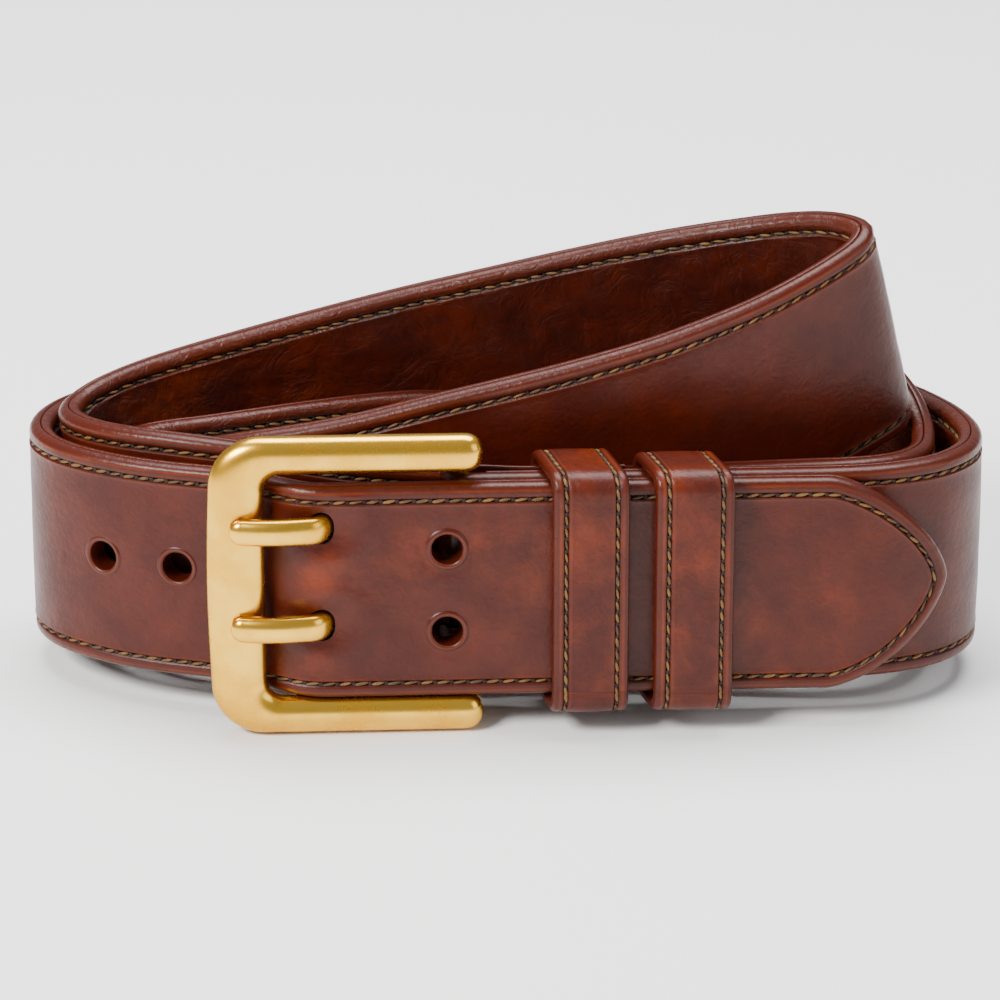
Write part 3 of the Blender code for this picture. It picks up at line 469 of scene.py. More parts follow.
def threadMaterial():
    material, tree, shader = freshMaterial("waxedThread")
    place = put(tree, "ShaderNodeTexCoord").outputs["Object"]
    patch = pattern(tree, place, 330.0, detail=3.0)
    ply = pattern(tree, place, 3200.0, detail=2.0, distortion=0.6)
    fresh = rise(tree, patch, 0.36, 0.64)
    shade = blend(tree, fresh, colour((0.045, 0.019, 0.0030)), colour((0.150, 0.072, 0.012)))
    tree.links.new(shade, shader.inputs["Base Color"])
    shader.inputs["Roughness"].default_value = 0.58
    relief(tree, shader, ply, 0.6, 0.0002)
    return material


# Painted shade: near-black discs set between the stitches stand in for the shade inside the needle holes.
def needleMaterial():
    material, tree, shader = freshMaterial("needleHoleShade")
    place = put(tree, "ShaderNodeTexCoord").outputs["Object"]
    holeShade = pattern(tree, place, 900.0)
    shade = blend(tree, holeShade, colour((0.010, 0.0035, 0.0015)), colour((0.025, 0.008, 0.003)))
    tree.links.new(shade, shader.inputs["Base Color"])
    shader.inputs["Roughness"].default_value = 0.85
    return material


# As above: "line" is a painted highlight colour and "groove" is painted shade; the other colours are the lining's
# own.
liningLook = {
    "deep": (0.036, 0.0040, 0.0014), "body": (0.068, 0.0080, 0.0021), "warm": (0.20, 0.032, 0.004),
    "edge": (0.058, 0.0078, 0.0028), "line": (0.10, 0.020, 0.006), "groove": (0.006, 0.002, 0.001),
}
topLeather = leatherMaterial("burnishedLeather", leatherLook, strap["stitchInset"], 0.10)
liningLeather = leatherMaterial("liningLeather", liningLook, strap["stitchInset"], 0.3, 1.8, 7.0, 0.7)
brass = brassMaterial()
thread = threadMaterial()
needle = needleMaterial()
print("materials ready")


def faceProfile(stitchInset, middle, top, edgeRound, groove, step=0.75):
    rows = [(0.16, 0.05)]
    for k in range(8):
        angle = math.pi / 2 * k / 7
        rows.append((edgeRound * (1 - math.cos(angle)), 0.22 + (top - 0.26) * math.sin(angle)))
    rows.append((edgeRound + 0.3, top))
    for offset, drop in ((-0.8, 0.0), (-0.52, 0.16), (-0.3, 0.72), (0.0, 1.0),
                         (0.28, 0.72), (0.46, 0.12), (0.65, -0.16), (1.1, -0.04)):
        rows.append((stitchInset + offset, top - groove * drop))
    inset = rows[-1][0]
    count = max(2, int(round((middle - inset) / step)))
    for k in range(1, count + 1):
        t = k / count
        rows.append((inset + (middle - inset) * t, top + 0.10 * math.sin(math.pi / 2 * min(1.0, t * 2.2))))
    return rows


def tipFan(inset, count=30):
    power = 2 / strap["tipRoundness"]
    half = strap["width"] / 2
    share = 1 - inset / half
    s, h = [], []
    for k in range(1, 2 * count):
        angle = math.pi / 2 - math.pi / 2 * k / count
        s.append(strap["tipLength"] * (1 - share * max(math.cos(angle), 0.0) ** power))
        h.append(math.copysign(half * share * abs(math.sin(angle)) ** power, angle))
    return np.array(s), np.array(h)


def layerColumns(inset, sValues):
    fanS, fanH = tipFan(inset)
    high = np.full(len(sValues), strap["width"] / 2 - inset)
    s = np.concatenate((sValues[::-1], fanS, sValues))
    h = np.concatenate((high, fanH, -high))
    return s, h


def wander(points, size, seed):
    return np.array([noise.noise(Vector(p) / size + Vector((seed, 0, 0))) for p in points])


# Where the finish is rubbed to orange: place along and across, reach along and across, strength.
glowSpots = [
    (112.0, 3.0, 3.0, 4.5, 0.6), (112.0, -13.0, 3.0, 3.0, 0.5), (96.0, 8.0, 16.0, 9.0, 0.45),
    (70.0, 6.0, 14.0, 14.0, 0.35), (36.0, -4.0, 20.0, 14.0, 0.30), (580.0, 0.0, 26.0, 16.0, 0.8),
]
holes = {
    "radius": 2.8, "pairX": -9.4, "pairHeights": (12.7, 28.1),
    "singlesX": (-56.6, -70.2), "singleRise": 1.2,
}


def dimples(lineX, height, s):
    change = np.zeros(len(lineX))
    front = s < 150
    for z in prong["heights"]:
        gap = np.hypot((lineX - prong["holeX"] - 1.0) / 1.15, height - z)
        change -= front * 0.75 * np.exp(-(gap / 3.6) ** 2)
        change += front * 0.28 * np.exp(-((gap - 6.2) / 1.9) ** 2)
    for z in holes["pairHeights"]:
        gap = np.hypot(lineX - holes["pairX"], height - z)
        change -= front * 0.16 * np.exp(-((gap - 4.3) / 0.9) ** 2)
    return change


def strapLayer(name, path, sEnd, side, material, roughness):
    sValues = np.arange(strap["tipLength"], sEnd, strap["columnStep"])
    near = np.arange(*strap["fineStretch"]) if side > 0 else np.array([])
    sValues = np.unique(np.concatenate((sValues, near, [sEnd])))
    face = faceProfile(strap["stitchInset"], strap["width"] / 2, strap["thickness"] / 2,
                       strap["edgeRound"], strap["grooveDepth"])[::-1]
    section = face + [(inset, 0.03) for inset in (0.5, 2.0, 6.0, 12.0, 20.0)]   # the side between the layers
    columns = [layerColumns(inset, sValues) for inset, depth in section]
    s = np.stack([c[0] for c in columns], axis=1)
    h = np.stack([c[1] for c in columns], axis=1)
    inset = np.broadcast_to([r[0] for r in section], s.shape).ravel()
    depth = np.broadcast_to([r[1] for r in section], s.shape).ravel()
    outer = np.broadcast_to([k < len(face) - 2 for k in range(len(section))], s.shape).ravel()
    flatS, flatH = s.ravel(), h.ravel()
    point, up, out = at(path, "point", flatS), at(path, "up", flatS), unit(at(path, "out", flatS))
    base = point + up * flatH[:, None]
    ripple = wander(base, roughness["size"], 3.1 + side) + 0.5 * wander(base, roughness["size"] / 2.3, 7.7)
    calm = np.clip((inset - 0.4) / 3.5, 0.12, 1.0) * outer
    change = roughness["height"] * ripple * calm
    lineX, height = lineCoordinates(base)
    if side > 0:
        change += outer * dimples(lineX, height, flatS)
    place = base + out * (side * (depth + change))[:, None]
    columnCount, rowCount = s.shape
    faces = []
    for c in range(columnCount - 1):
        for r in range(rowCount - 1):
            a = c * rowCount + r
            faces.append((a, a + 1, a + rowCount + 1, a + rowCount))
    last = (columnCount - 1) * rowCount
    faces.append(tuple(range(rowCount)) + tuple(last + r for r in reversed(range(rowCount))))
    mesh = bpy.data.meshes.new(name)
    mesh.from_pydata([tuple(p) for p in toWorld(place)], [], faces)
    glow = np.zeros(len(flatS))
    for spotS, spotH, reachS, reachH, strength in glowSpots:
        glow += strength * np.exp(-((flatS - spotS) / reachS) ** 2 - ((flatH - spotH) / reachH) ** 2)
    flowMap(mesh, flatS, flatH)
    pointValues(mesh, "inset", inset)
    pointValues(mesh, "glow", glow)
    obj = linked(name, mesh)
    mesh.materials.append(material)
    closedUp(mesh, 50, 2e-7, 1e-8)
    return obj


def rod(name, start, end, radius, sides=40):
    start, end = np.array(start, float), np.array(end, float)
    axis = unit(end - start)
    across = unit(np.cross(axis, (0, 0, 1.0)))
    upright = np.cross(across, axis)
    points = []
    for centre in (start, end):
        for k in range(sides):
            a = 2 * math.pi * k / sides
            points.append(centre + radius * (math.cos(a) * across + math.sin(a) * upright))
    return newObject(name, points, tubeFaces(2, sides), None)


def holePlaces(path):
    places = []
    for z in holes["pairHeights"]:
        front = linePoint(holes["pairX"], 0, z)
        places.append((front, unit(linePoint(0, -1) - linePoint(0, 0))))
    turned = int(np.argmin(path["point"][: len(path["point"]) // 4, 0]))
    for x in holes["singlesX"]:
        k = int(np.argmin(np.abs(path["point"][:turned, 0] - x)))
        places.append((path["point"][k] + path["up"][k] * holes["singleRise"], path["out"][k]))
    return places


def holeCutters(places, tag):
    tools = [rod(f"punch{tag}{k}", centre - out * 3.2, centre + out * 3.2, holes["radius"])
             for k, (centre, out) in enumerate(places)]
    for k, z in enumerate(prong["heights"]):
        tools.append(newObject(f"slot{tag}{k}", *prongSweep(z, prong["strapClearance"], tip=False), None))
    return tools


def holeRims(places):
    profile = [(2.72, 0.4), (2.72, 1.5), (2.78, 1.95), (2.92, 2.2), (3.12, 2.33), (3.35, 2.36),
               (3.58, 2.28), (3.8, 2.12), (4.0, 1.96), (4.1, 1.6), (3.4, 0.4)]
    sides = 48
    points, faces, insets = [], [], []
    for centre, out in places:
        across = unit(np.cross(out, (0, 0, 1.0)))
        upright = np.cross(across, out)
        start = len(points)
        for k in range(sides):
            a = 2 * math.pi * k / sides
            spoke = math.cos(a) * across + math.sin(a) * upright
            points += [centre + spoke * r + out * d for r, d in profile]
            # inset 1.25 on the crest of each lip puts the painted edge highlight there; the rest takes the edge
            # colour
            insets += [1.25 if 2.9 < r < 3.5 else 0.4 for r, d in profile]
        n = len(profile)
        for k in range(sides):
            for r in range(n):
                a, b = start + k * n, start + (k + 1) % sides * n
                faces.append((a + r, a + (r + 1) % n, b + (r + 1) % n, b + r))
    return points, faces, insets


def paint(obj, along, across, inset, glow):
    flowMap(obj.data, along, across)
    pointValues(obj.data, "inset", inset)
    pointValues(obj.data, "glow", np.full(len(obj.data.vertices), glow))


prong = {
    "height": 5.0, "thickness": 3.4, "shank": 2.2,
    "tipX": -47.6, "holeX": -31.5, "heights": (14.1, 32.3), "clearance": 0.3, "strapClearance": 0.45,
    "ringWall": 1.5, "ringGap": 0.3, "ringHalfHeight": 2.3, "squareness": 2.25,
}


def superRing(centre, side, across, a, b, power, sides):
    ring = []
    for k in range(sides):
        angle = 2 * math.pi * (k + 0.5) / sides
        c, s = math.cos(angle), math.sin(angle)
        ring.append(centre + side * a * math.copysign(abs(c) ** (2 / power), c)
                    + across * b * math.copysign(abs(s) ** (2 / power), s))
    return ring


def prongSweep(z, extra=0.0, tip=True, sides=28):
    shankY = strap["thickness"] / 2 + prong["strapClearance"] + prong["shank"] / 2
    frontY = buckle["middleY"] - buckle["depth"] / 2 - prong["thickness"] / 2 + 0.9
    hole = prong["holeX"]
    stops = [
        (buckle["crossbarX"] - 2.45, shankY, 1.1, 2.5), (buckle["crossbarX"] - 8, shankY, 1.1, 2.5),
        (hole + 7.0, shankY, 1.1, 2.5), (hole + 4.3, shankY - 0.9, 1.2, 2.5),
        (hole + 1.8, shankY * 0.25, 1.35, 2.5), (hole - 0.8, -2.6, 1.55, 2.5),
        (hole - 3.4, frontY - 0.1, 1.7, 2.5), (hole - 7.5, frontY - 0.5, 1.75, 2.5),
        (prong["tipX"] + 5.0, frontY - 0.35, 1.7, 2.45), (prong["tipX"] + 2.4, frontY, 1.62, 2.4),
    ]
    if tip:
        for k in range(1, 9):
            t = k / 8
            shrink = math.sqrt(max(1 - t * t, 0.0004))
            stops.append((prong["tipX"] + 2.4 * (1 - t), frontY + 0.15 * t, 1.62 * shrink, 2.4 * shrink))
    else:
        stops = stops[2:7]
    curve = smoothRows([(x, y, 0, thick, high * prong["height"] / 5.0) for x, y, thick, high in stops], 4)
    points = []
    for k, (x, y, _, thick, high) in enumerate(curve):
        before, after = curve[max(k - 1, 0)], curve[min(k + 1, len(curve) - 1)]
        along = unit(np.array((after[0] - before[0], after[1] - before[1], 0.0)) + 1e-9)
        across = np.array((-along[1], along[0], 0.0))
        ring = superRing(np.array((x, y, z)), np.array((0, 0, 1.0)), across, high + extra, thick + extra,
                         prong["squareness"], sides)
        points += [linePoint(*p) for p in ring]
    return points, tubeFaces(len(curve), sides)


def frameOutline(left, low, high, corner, bow, steps=14):
    start, reach = buckle["right"], buckle["endReach"]
    run = start - left - corner
    stops = [reach * (1 - math.cos(math.pi / 2 * k / 12)) for k in range(12)]
    stops += [reach + (run - reach) * k / 18 for k in range(19)]
    leg = [(start - stop, high) for stop in stops]
    for k in range(1, steps):
        a = math.pi / 2 + math.pi / 2 * k / steps
        leg.append((left + corner + corner * math.cos(a), high - corner + corner * math.sin(a)))
    bar = []
    for k in range(25):
        z = high - corner + (low - high + 2 * corner) * k / 24
        bar.append((left - bow * math.sin(math.pi * k / 24), z))
    return np.array(leg + bar + [(x, low + high - z) for x, z in reversed(leg)])


def frameMesh(sides=32):
    leg, reach, power = buckle["legHeight"], buckle["endReach"], buckle["endPower"]
    outer = frameOutline(buckle["left"], buckle["low"] - leg, buckle["high"] + leg,
                         buckle["outerCorner"], buckle["barBow"])
    inner = frameOutline(buckle["left"] + buckle["barWidth"], buckle["low"], buckle["high"],
                         buckle["innerCorner"], 0.0)
    points = []
    for far, near in zip(outer, inner):
        middle, half = (far + near) / 2, (far - near) / 2
        width = np.linalg.norm(half)
        shrink = 1.0
        fromEnd = buckle["right"] - middle[0]
        if fromEnd < reach:
            shrink = max(1 - (1 - fromEnd / reach) ** power, 0.0) ** (1 / power)
        shrink = max(shrink, 0.03)
        side = np.array((half[0], 0, half[1])) / width
        ring = superRing(np.array((middle[0], buckle["middleY"], middle[1])), side, np.array((0, 1.0, 0)),
                         width * shrink, buckle["depth"] / 2 * shrink, buckle["squareness"], sides)
        points += [linePoint(*p) for p in ring]
    return points, tubeFaces(len(outer), sides)


def lugPieces():
    pieces = []
    for name, low, high in (("lugLow", buckle["low"] - buckle["lugHeight"], buckle["low"] - 0.05),
                            ("lugHigh", buckle["high"] + 0.05, buckle["high"] + buckle["lugHeight"])):
        outline = []
        for k in range(25):
            a = math.pi * k / 24
            outline.append((buckle["crossbarX"] + buckle["lugRadius"] * math.cos(a),
                            buckle["crossbarY"] + buckle["lugRadius"] * math.sin(a)))
        outline.append((buckle["crossbarX"] - buckle["lugRadius"], buckle["middleY"] + 1.3))
        outline.append((buckle["crossbarX"] - 0.4, buckle["middleY"] + 1.3))
        middle = np.mean(outline, axis=0)
        points = []
        for z, shrink in ((low, 0.9), (low + 0.3, 1.0), (high - 0.3, 1.0), (high, 0.9)):
            points += [linePoint(*(middle + (np.array(p) - middle) * shrink), z) for p in outline]
        pieces.append(newObject(name, points, tubeFaces(4, len(outline)), None))
    return pieces


def crossbarMesh(sides=36):
    low, high = buckle["low"] - buckle["seat"], buckle["high"] + buckle["seat"]
    radius = buckle["crossbarRadius"]
    points = []
    for z, r in ((low, radius - 0.45), (low + 0.3, radius - 0.1), (low + 0.8, radius),
                 (high - 0.8, radius), (high - 0.3, radius - 0.1), (high, radius - 0.45)):
        for k in range(sides):
            a = 2 * math.pi * k / sides
            points.append(linePoint(buckle["crossbarX"] + r * math.cos(a),
                                    buckle["crossbarY"] + r * math.sin(a), z))
    return points, tubeFaces(6, sides)


def post(name, low, high, radius, sides=40):
    points = []
    for z in (low, high):
        for k in range(sides):
            a = 2 * math.pi * k / sides
            points.append(linePoint(buckle["crossbarX"] + radius * math.cos(a),
                                    buckle["crossbarY"] + radius * math.sin(a), z))
    return newObject(name, points, tubeFaces(2, sides), None)


keeper = {
    "thickness": 2.2, "clearance": 0.45, "frontGap": 1.9, "corner": 2.6, "stitchInset": 2.2,
    "fixedX": 9.0, "fixedWidth": 13.4, "slidingX": 27.0, "slidingWidth": 13.8,
    "foldBack": 9.05, "strapBack": 6.8,
    "skew": 3.0,             # how far the back of a keeper runs to the left of its front
}
keeperLeather = leatherMaterial("keeperLeather", leatherLook, keeper["stitchInset"], 0.18)


def keeperSpan(backY):
    half = keeper["thickness"] / 2
    return -strap["thickness"] / 2 - keeper["frontGap"] - half, backY + keeper["clearance"] + half


def keeperLoop(backY, steps=9):
    half = keeper["thickness"] / 2
    front, back = keeperSpan(backY)
    low = -keeper["clearance"] - half
    high = strap["width"] + keeper["clearance"] + half
    corner = keeper["corner"]
    path, outs = [], []
    for y, z, start in ((front, low, 180), (back, low, 270), (back, high, 0), (front, high, 90)):
        cy, cz = y + corner * (1 if y == front else -1), z + corner * (1 if z == low else -1)
        for k in range(steps):
            a = math.radians(start + 90 * k / (steps - 1))
            path.append((cy + corner * math.cos(a), cz + corner * math.sin(a)))
            outs.append((math.cos(a), math.sin(a)))
    path, outs = np.array(path), np.array(outs)
    finePath, fineOuts = [], []
    for k in range(len(path)):
        following = (k + 1) % len(path)
        count = max(1, int(round(np.linalg.norm(path[following] - path[k]) / 1.3)))
        for step in range(count):
            t = step / count
            finePath.append(path[k] + (path[following] - path[k]) * t)
            fineOuts.append(unit(outs[k] + (outs[following] - outs[k]) * t))
    return np.array(finePath), np.array(fineOuts)


def keeperSlide(y, backY):
    front, back = keeperSpan(backY)
    return -keeper["skew"] * (y - front) / (back - front)


def keeperMesh(name, left, width, backY):
    path, outs = keeperLoop(backY)
    top = keeper["thickness"] / 2
    face = faceProfile(keeper["stitchInset"], width / 2, top, 0.95, 0.5, 0.8)[1:]
    profile = [(1.0, -top), (0.4, -top + 0.18), (0.1, -top + 0.5), (0.0, -0.4)] + face
    mirrored = [(width - inset, depth, inset) for inset, depth in reversed(profile[:-1])]
    section = [(inset, depth, inset) for inset, depth in profile] + mirrored
    points, along, across, insets = [], [], [], []
    run = np.concatenate(([0.0], np.cumsum(np.linalg.norm(np.diff(path, axis=0), axis=1))))
    for k, ((y, z), (oy, oz)) in enumerate(zip(path, outs)):
        for x, d, inset in section:
            lump = 0.10 * noise.noise(Vector((x / 5.0, z / 6.0, left))) if d > 0.9 * top else 0.0
            deep = y + oy * (d + lump)
            points.append(linePoint(left + x + keeperSlide(deep, backY), deep, z + oz * (d + lump)))
            along.append(run[k] + left * 3)
            across.append(x)
            insets.append(inset if d > -0.5 else 5.0)
    obj = newObject(name, points, tubeFaces(len(path), len(section), closed=True), keeperLeather, 50)
    paint(obj, np.array(along), np.array(across), insets, 0.45)
    return obj


def stitchTree():
    tree = bpy.data.node_groups.new("seamStitches", "GeometryNodeTree")
    namedSockets(tree, "INPUT", (("Geometry", "Geometry", None), ("Spacing", "Float", 0.003),
                                 ("Stitch Length", "Float", 0.0025), ("Stitch Width", "Float", 0.0007),
                                 ("Slant", "Float", 0.16), ("Seed", "Int", 4),
                                 ("Thread", "Material", None), ("Needle Hole", "Material", None)))
    namedSockets(tree, "OUTPUT", [("Geometry", "Geometry", None)])
    given = put(tree, "NodeGroupInput")
    result = put(tree, "NodeGroupOutput")
    wire = give(tree, "GeometryNodeMeshToCurve", {0: given.outputs["Geometry"]})
    step = times(tree, given.outputs["Spacing"], 2.0, "DIVIDE")
    even = give(tree, "GeometryNodeResampleCurve", {"Curve": wire, "Length": step}, mode="LENGTH")
    index = give(tree, "GeometryNodeInputIndex")
    parity = give(tree, "FunctionNodeIntegerMath", {0: index, 1: 2}, operation="MODULO")
    odd = give(tree, "FunctionNodeCompare", {2: parity, 3: 1}, data_type="INT", operation="EQUAL")
    notOdd = give(tree, "FunctionNodeBooleanMath", {0: odd}, operation="NOT")
    tangent = give(tree, "GeometryNodeInputTangent")
    outward = give(tree, "GeometryNodeInputNamedAttribute", {"Name": "faceOut"}, data_type="FLOAT_VECTOR")
    lie = give(tree, "FunctionNodeAlignRotationToVector", {"Vector": tangent}, axis="X")
    face = give(tree, "FunctionNodeAlignRotationToVector", {"Rotation": lie, "Vector": outward},
                axis="Z", pivot_axis="X")
    tilt = give(tree, "ShaderNodeCombineXYZ", {2: given.outputs["Slant"]})
    turn = give(tree, "FunctionNodeEulerToRotation", {0: tilt})
    turned = give(tree, "FunctionNodeRotateRotation", {0: face, 1: turn}, rotation_space="LOCAL")
    grow = give(tree, "FunctionNodeRandomValue", {"Min": (0.9, 0.85, 0.85), "Max": (1.06, 1.12, 1.1),
                                                  "Seed": given.outputs["Seed"]}, data_type="FLOAT_VECTOR")
    halfLong = times(tree, given.outputs["Stitch Length"], 0.5)
    halfWide = times(tree, given.outputs["Stitch Width"], 0.5)
    size = give(tree, "ShaderNodeCombineXYZ", {0: halfLong, 1: halfWide, 2: halfWide})
    scale = give(tree, "ShaderNodeVectorMath", {0: size, 1: grow}, operation="MULTIPLY")
    # Every other point gets a flat dark disc, painted shade for a needle hole.
    pitWide = times(tree, given.outputs["Stitch Width"], 0.62)
    pitFlat = times(tree, given.outputs["Stitch Width"], 0.22)
    pitSize = give(tree, "ShaderNodeCombineXYZ", {0: pitWide, 1: pitWide, 2: pitFlat})
    both = put(tree, "GeometryNodeJoinGeometry")
    for chosen, rings, rotation, growth, material in ((odd, 4, face, pitSize, "Needle Hole"),
                                                      (notOdd, 6, turned, scale, "Thread")):
        bead = put(tree, "GeometryNodeMeshUVSphere", {"Segments": 8, "Rings": rings, "Radius": 1.0})
        copies = give(tree, "GeometryNodeInstanceOnPoints", {
            "Points": even, "Selection": chosen, "Instance": bead.outputs["Mesh"],
            "Rotation": rotation, "Scale": growth})
        whole = give(tree, "GeometryNodeRealizeInstances", {0: copies})
        sewn = give(tree, "GeometryNodeSetMaterial", {"Geometry": whole, "Material": given.outputs[material]})
        tree.links.new(sewn, both.inputs[0])
    tree.links.new(both.outputs[0], result.inputs[0])
    return tree


stitching = stitchTree()


def sew(name, points, outs, seed, spacing, length, width, slant):
    mesh = bpy.data.meshes.new(name)
    mesh.from_pydata([tuple(p) for p in toWorld(points)], [(k, k + 1) for k in range(len(points) - 1)], [])
    pointValues(mesh, "faceOut", np.asarray(outs) @ coilArray[:3, :3].T, "FLOAT_VECTOR", "vector")
    obj = linked(name, mesh)
    step = obj.modifiers.new("stitches", "NODES")
    step.node_group = stitching
    values = {"Spacing": spacing * mm, "Stitch Length": length * mm, "Stitch Width": width * mm,
              "Slant": slant, "Seed": seed, "Thread": thread, "Needle Hole": needle}
    for item in stitching.interface.items_tree:
        if item.in_out == "INPUT" and item.name in values:
            step[item.identifier] = values[item.name]
    return applied(obj, 60)


# Each seam's spacing, stitch length and stitch width, its slant, and how deep the stitches sit.
stitches = {
    "strap": (2.9, 2.6, 0.68), "strapSlant": 0.2, "strapSunk": 0.34,
    "keeper": (2.3, 2.0, 0.62), "keeperSlant": 0.16, "keeperSunk": 0.26,
}


def strapSeam(name, path, sEnd, side, seed):
    sValues = np.arange(strap["tipLength"], sEnd, 1.5)
    s, h = layerColumns(strap["stitchInset"], sValues)
    point, up, out = at(path, "point", s), at(path, "up", s), unit(at(path, "out", s))
    depth = strap["thickness"] / 2 - stitches["strapSunk"]
    place = point + up * h[:, None] + out * (side * depth)
    return sew(name, place, out * side, seed, *stitches["strap"], stitches["strapSlant"] * side)


path = strapPath()
leatherPath = withFold(path)
strapEnd = path["s"][-1]
places = holePlaces(path)
leatherObject = strapLayer("strapTopLeather", leatherPath, leatherPath["s"][-1], 1, topLeather,
                           {"size": 9.0, "height": 0.10})
liningObject = strapLayer("strapLining", path, strapEnd - strap["liningStop"], -1, liningLeather,
                          {"size": 4.2, "height": 0.34})
print("strap layers", len(leatherObject.data.polygons), len(liningObject.data.polygons))

ringWall = buckle["crossbarRadius"] + prong["ringGap"] + prong["ringWall"]
reach = ringWall + 0.5
foldTools = []      # room for the prong rings where the leather folds round the crossbar
for k, z in enumerate(prong["heights"]):
    left, right = buckle["crossbarX"] - reach - 2, buckle["crossbarX"] + reach
    front, back = 1.6, buckle["crossbarY"] + reach + 1.2
    corners = [linePoint(x, y, h) for h in (z - 3.0, z + 3.0)
               for x, y in ((left, front), (right, front), (right, back), (left, back))]
    foldTools.append(newObject(f"foldSlot{k}", corners, tubeFaces(2, 4), None))
cut(leatherObject, holeCutters(places, "Top") + foldTools, smooth=50)
cut(liningObject, holeCutters(places, "Back"), smooth=50)
print("holes cut", len(leatherObject.data.polygons), len(liningObject.data.polygons))
rimPoints, rimFaces, rimInsets = holeRims(places)
rims = newObject("punchedHoleRims", rimPoints, rimFaces, topLeather, 60)
paint(rims, np.full(len(rimPoints), 30.0), np.zeros(len(rimPoints)), rimInsets, 0.3)

seamOuter = strapSeam("seamStitchesOuter", path, strapEnd - strap["liningStop"], 1, 4)
seamInner = strapSeam("seamStitchesInner", path, strapEnd - strap["innerSeamStop"], -1, 9)

frameObject = newObject("buckleFrame", *frameMesh(), brass, 40)
cut(frameObject, lugPieces(), "UNION", 40)
seats = [post("seat", buckle["low"] - buckle["seat"] - 0.3, buckle["high"] + buckle["seat"] + 0.3,
              buckle["crossbarRadius"] + 0.25)]
notches = [newObject(f"notch{k}", *prongSweep(z, prong["clearance"]), None)
           for k, z in enumerate(prong["heights"])]
cut(frameObject, seats + notches, "DIFFERENCE", 40)
crossbar = newObject("buckleCrossbar", *crossbarMesh(), brass, 40)


# Painted shade: the prong's colour darkens to near-black from just past its hole towards the crossbar, where it
# sits behind the strap.
def paintShadeBehind(obj, shadeStart, shadeFull):
    worldToCoil = np.array(coilToWorld.inverted())
    spots = np.array([v.co for v in obj.data.vertices])
    spots = (spots @ worldToCoil[:3, :3].T + worldToCoil[:3, 3]) / mm
    x, _ = lineCoordinates(spots)
    paintedShade = np.clip((x - shadeStart) / (shadeFull - shadeStart), 0, 1)
    pointValues(obj.data, "paintedShade", paintedShade)


prongs = []
for name, z in zip(("prongLower", "prongUpper"), prong["heights"]):
    piece = newObject(name, *prongSweep(z), brass, 40)
    ring = post("ring", z - prong["ringHalfHeight"], z + prong["ringHalfHeight"], ringWall)
    cut(piece, [ring], "UNION", 40)
    bore = post("bore", z - 4, z + 4, buckle["crossbarRadius"] + prong["ringGap"])
    cut(piece, [bore], "DIFFERENCE", 40)
    paintShadeBehind(piece, prong["holeX"] + 1.5, prong["holeX"] + 5.0)
    prongs.append(piece)
print("buckle", len(frameObject.data.polygons))

keeperPieces = []
for title, node, body, left, width, backY, seed in (
        ("keeperFixed", "keeper_fixed", "strap",
         keeper["fixedX"], keeper["fixedWidth"], keeper["foldBack"], 12),
        ("keeperSliding", "keeper_sliding", "sliding_keeper",
         keeper["slidingX"], keeper["slidingWidth"], keeper["strapBack"], 21)):
    keeperPieces.append((keeperMesh(title, left, width, backY), node, body, "leather"))
    line, outs = keeperLoop(backY)
    line, outs = np.vstack((line, line[:1])), np.vstack((outs, outs[:1]))
    facing = [linePoint(0, oy, oz) - linePoint(0, 0) for oy, oz in outs]
    depth = keeper["thickness"] / 2 - stitches["keeperSunk"]
    for edge, x in (("left", left + keeper["stitchInset"]), ("right", left + width - keeper["stitchInset"])):
        points = [linePoint(x + keeperSlide(y + oy * depth, backY), y + oy * depth, z + oz * depth)
                  for (y, z), (oy, oz) in zip(line, outs)]
        sewn = sew(f"{title}Stitches{edge.capitalize()}", points, facing, seed + len(edge),
                   *stitches["keeper"], stitches["keeperSlant"])
        keeperPieces.append((sewn, f"{node}_thread_{edge}", body, "thread"))
print("keepers and stitches")

pieces = [
    (leatherObject, "strap_top_leather", "strap", "leather"),
    (liningObject, "strap_lining", "strap", "lining"),
    (seamOuter, "seam_thread_outer", "strap", "thread"),
    (seamInner, "seam_thread_inner", "strap", "thread"),
    (frameObject, "buckle_frame", "buckle", "brass"),
    (crossbar, "buckle_crossbar", "buckle", "brass"),
    (prongs[0], "prong_lower", "lower_prong", "brass"),
    (prongs[1], "prong_upper", "upper_prong", "brass"),
] + keeperPieces
for obj, node, body, slot in pieces:
    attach(obj, body)
    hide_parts(node)
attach(rims, "strap")

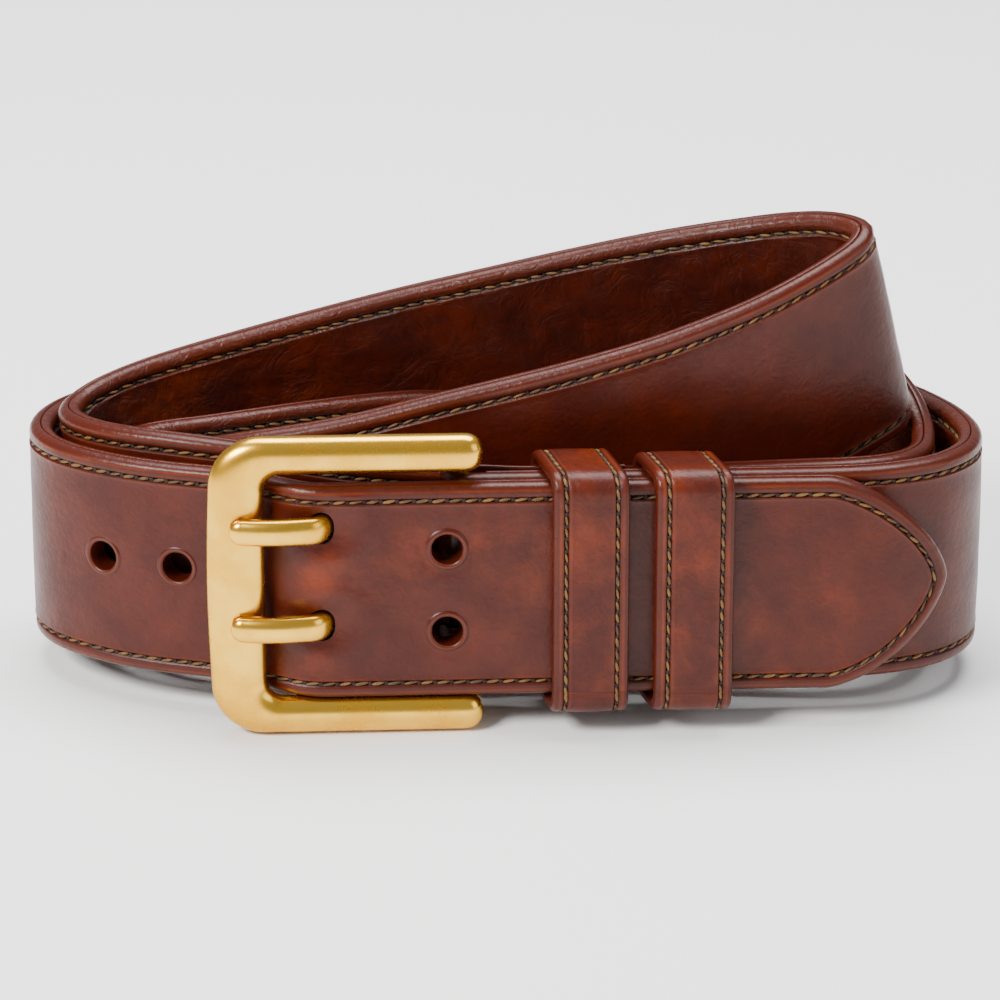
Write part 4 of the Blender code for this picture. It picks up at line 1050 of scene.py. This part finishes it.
studio = {
    "floorColour": (0.93, 0.93, 0.925), "floorDrop": 0.0002,
    "sky": 0.42, "skyColour": (0.97, 0.98, 1.0),
    # place, target, size, power and tint of each lamp
    "keyLight": ((-0.75, -0.62, 0.85), (0, 0, 0.03), (0.5, 0.35), 27.0, (1, 0.985, 0.96)),
    "fillLight": ((0.85, -0.55, 0.45), (0, 0, 0.04), (0.6, 0.6), 2.5, (1, 1, 1)),
    "topLight": ((0.05, 0.25, 1.0), (0, 0, 0.03), (0.9, 0.6), 22.0, (1, 1, 1)),
    "lens": 163.7, "cameraBack": 0.750, "cameraRise": 0.3097, "cameraDip": 20.05,
}


def areaLight(name, place, target, size, power, tint):
    data = bpy.data.lights.new(name, "AREA")
    data.shape = "RECTANGLE"
    data.size, data.size_y = size
    data.energy = power
    data.color = tint
    lamp = linked(name, data)
    lamp.location = place
    lamp.rotation_euler = (Vector(target) - Vector(place)).to_track_quat("-Z", "Y").to_euler()


floorMesh = bpy.data.meshes.new("studioFloor")
floorMesh.from_pydata([(x, y, -studio["floorDrop"]) for x, y in ((-6, -4), (6, -4), (6, 8), (-6, 8))],
                      [], [(0, 1, 2, 3)])
floor = linked("studioFloor", floorMesh)
floorPaint, floorTree, floorShader = freshMaterial("paleFloor")
floorShader.inputs["Base Color"].default_value = colour(studio["floorColour"])
floorShader.inputs["Roughness"].default_value = 0.9
floorMesh.materials.append(floorPaint)

world = bpy.data.worlds.new("softStudio")
bpy.context.scene.world = world
world.use_nodes = True
sky = world.node_tree.nodes["Background"]
sky.inputs[0].default_value = colour(studio["skyColour"])
sky.inputs[1].default_value = studio["sky"]
for name in ("keyLight", "fillLight", "topLight"):
    areaLight(name, *studio[name])

cameraData = bpy.data.cameras.new("camera")
cameraData.sensor_width = 36.0
cameraData.lens = studio["lens"]
cameraData.clip_start, cameraData.clip_end = 0.05, 20
camera = linked("camera", cameraData)
cameraPlace = coilToWorld @ Matrix.Translation((0, -studio["cameraBack"], studio["cameraRise"]))
cameraPlace = cameraPlace @ Matrix.Rotation(math.radians(90 - studio["cameraDip"]), 4, "X")
camera.location = cameraPlace.translation
camera.rotation_euler = cameraPlace.to_euler()
bpy.context.scene.camera = camera

print("done")
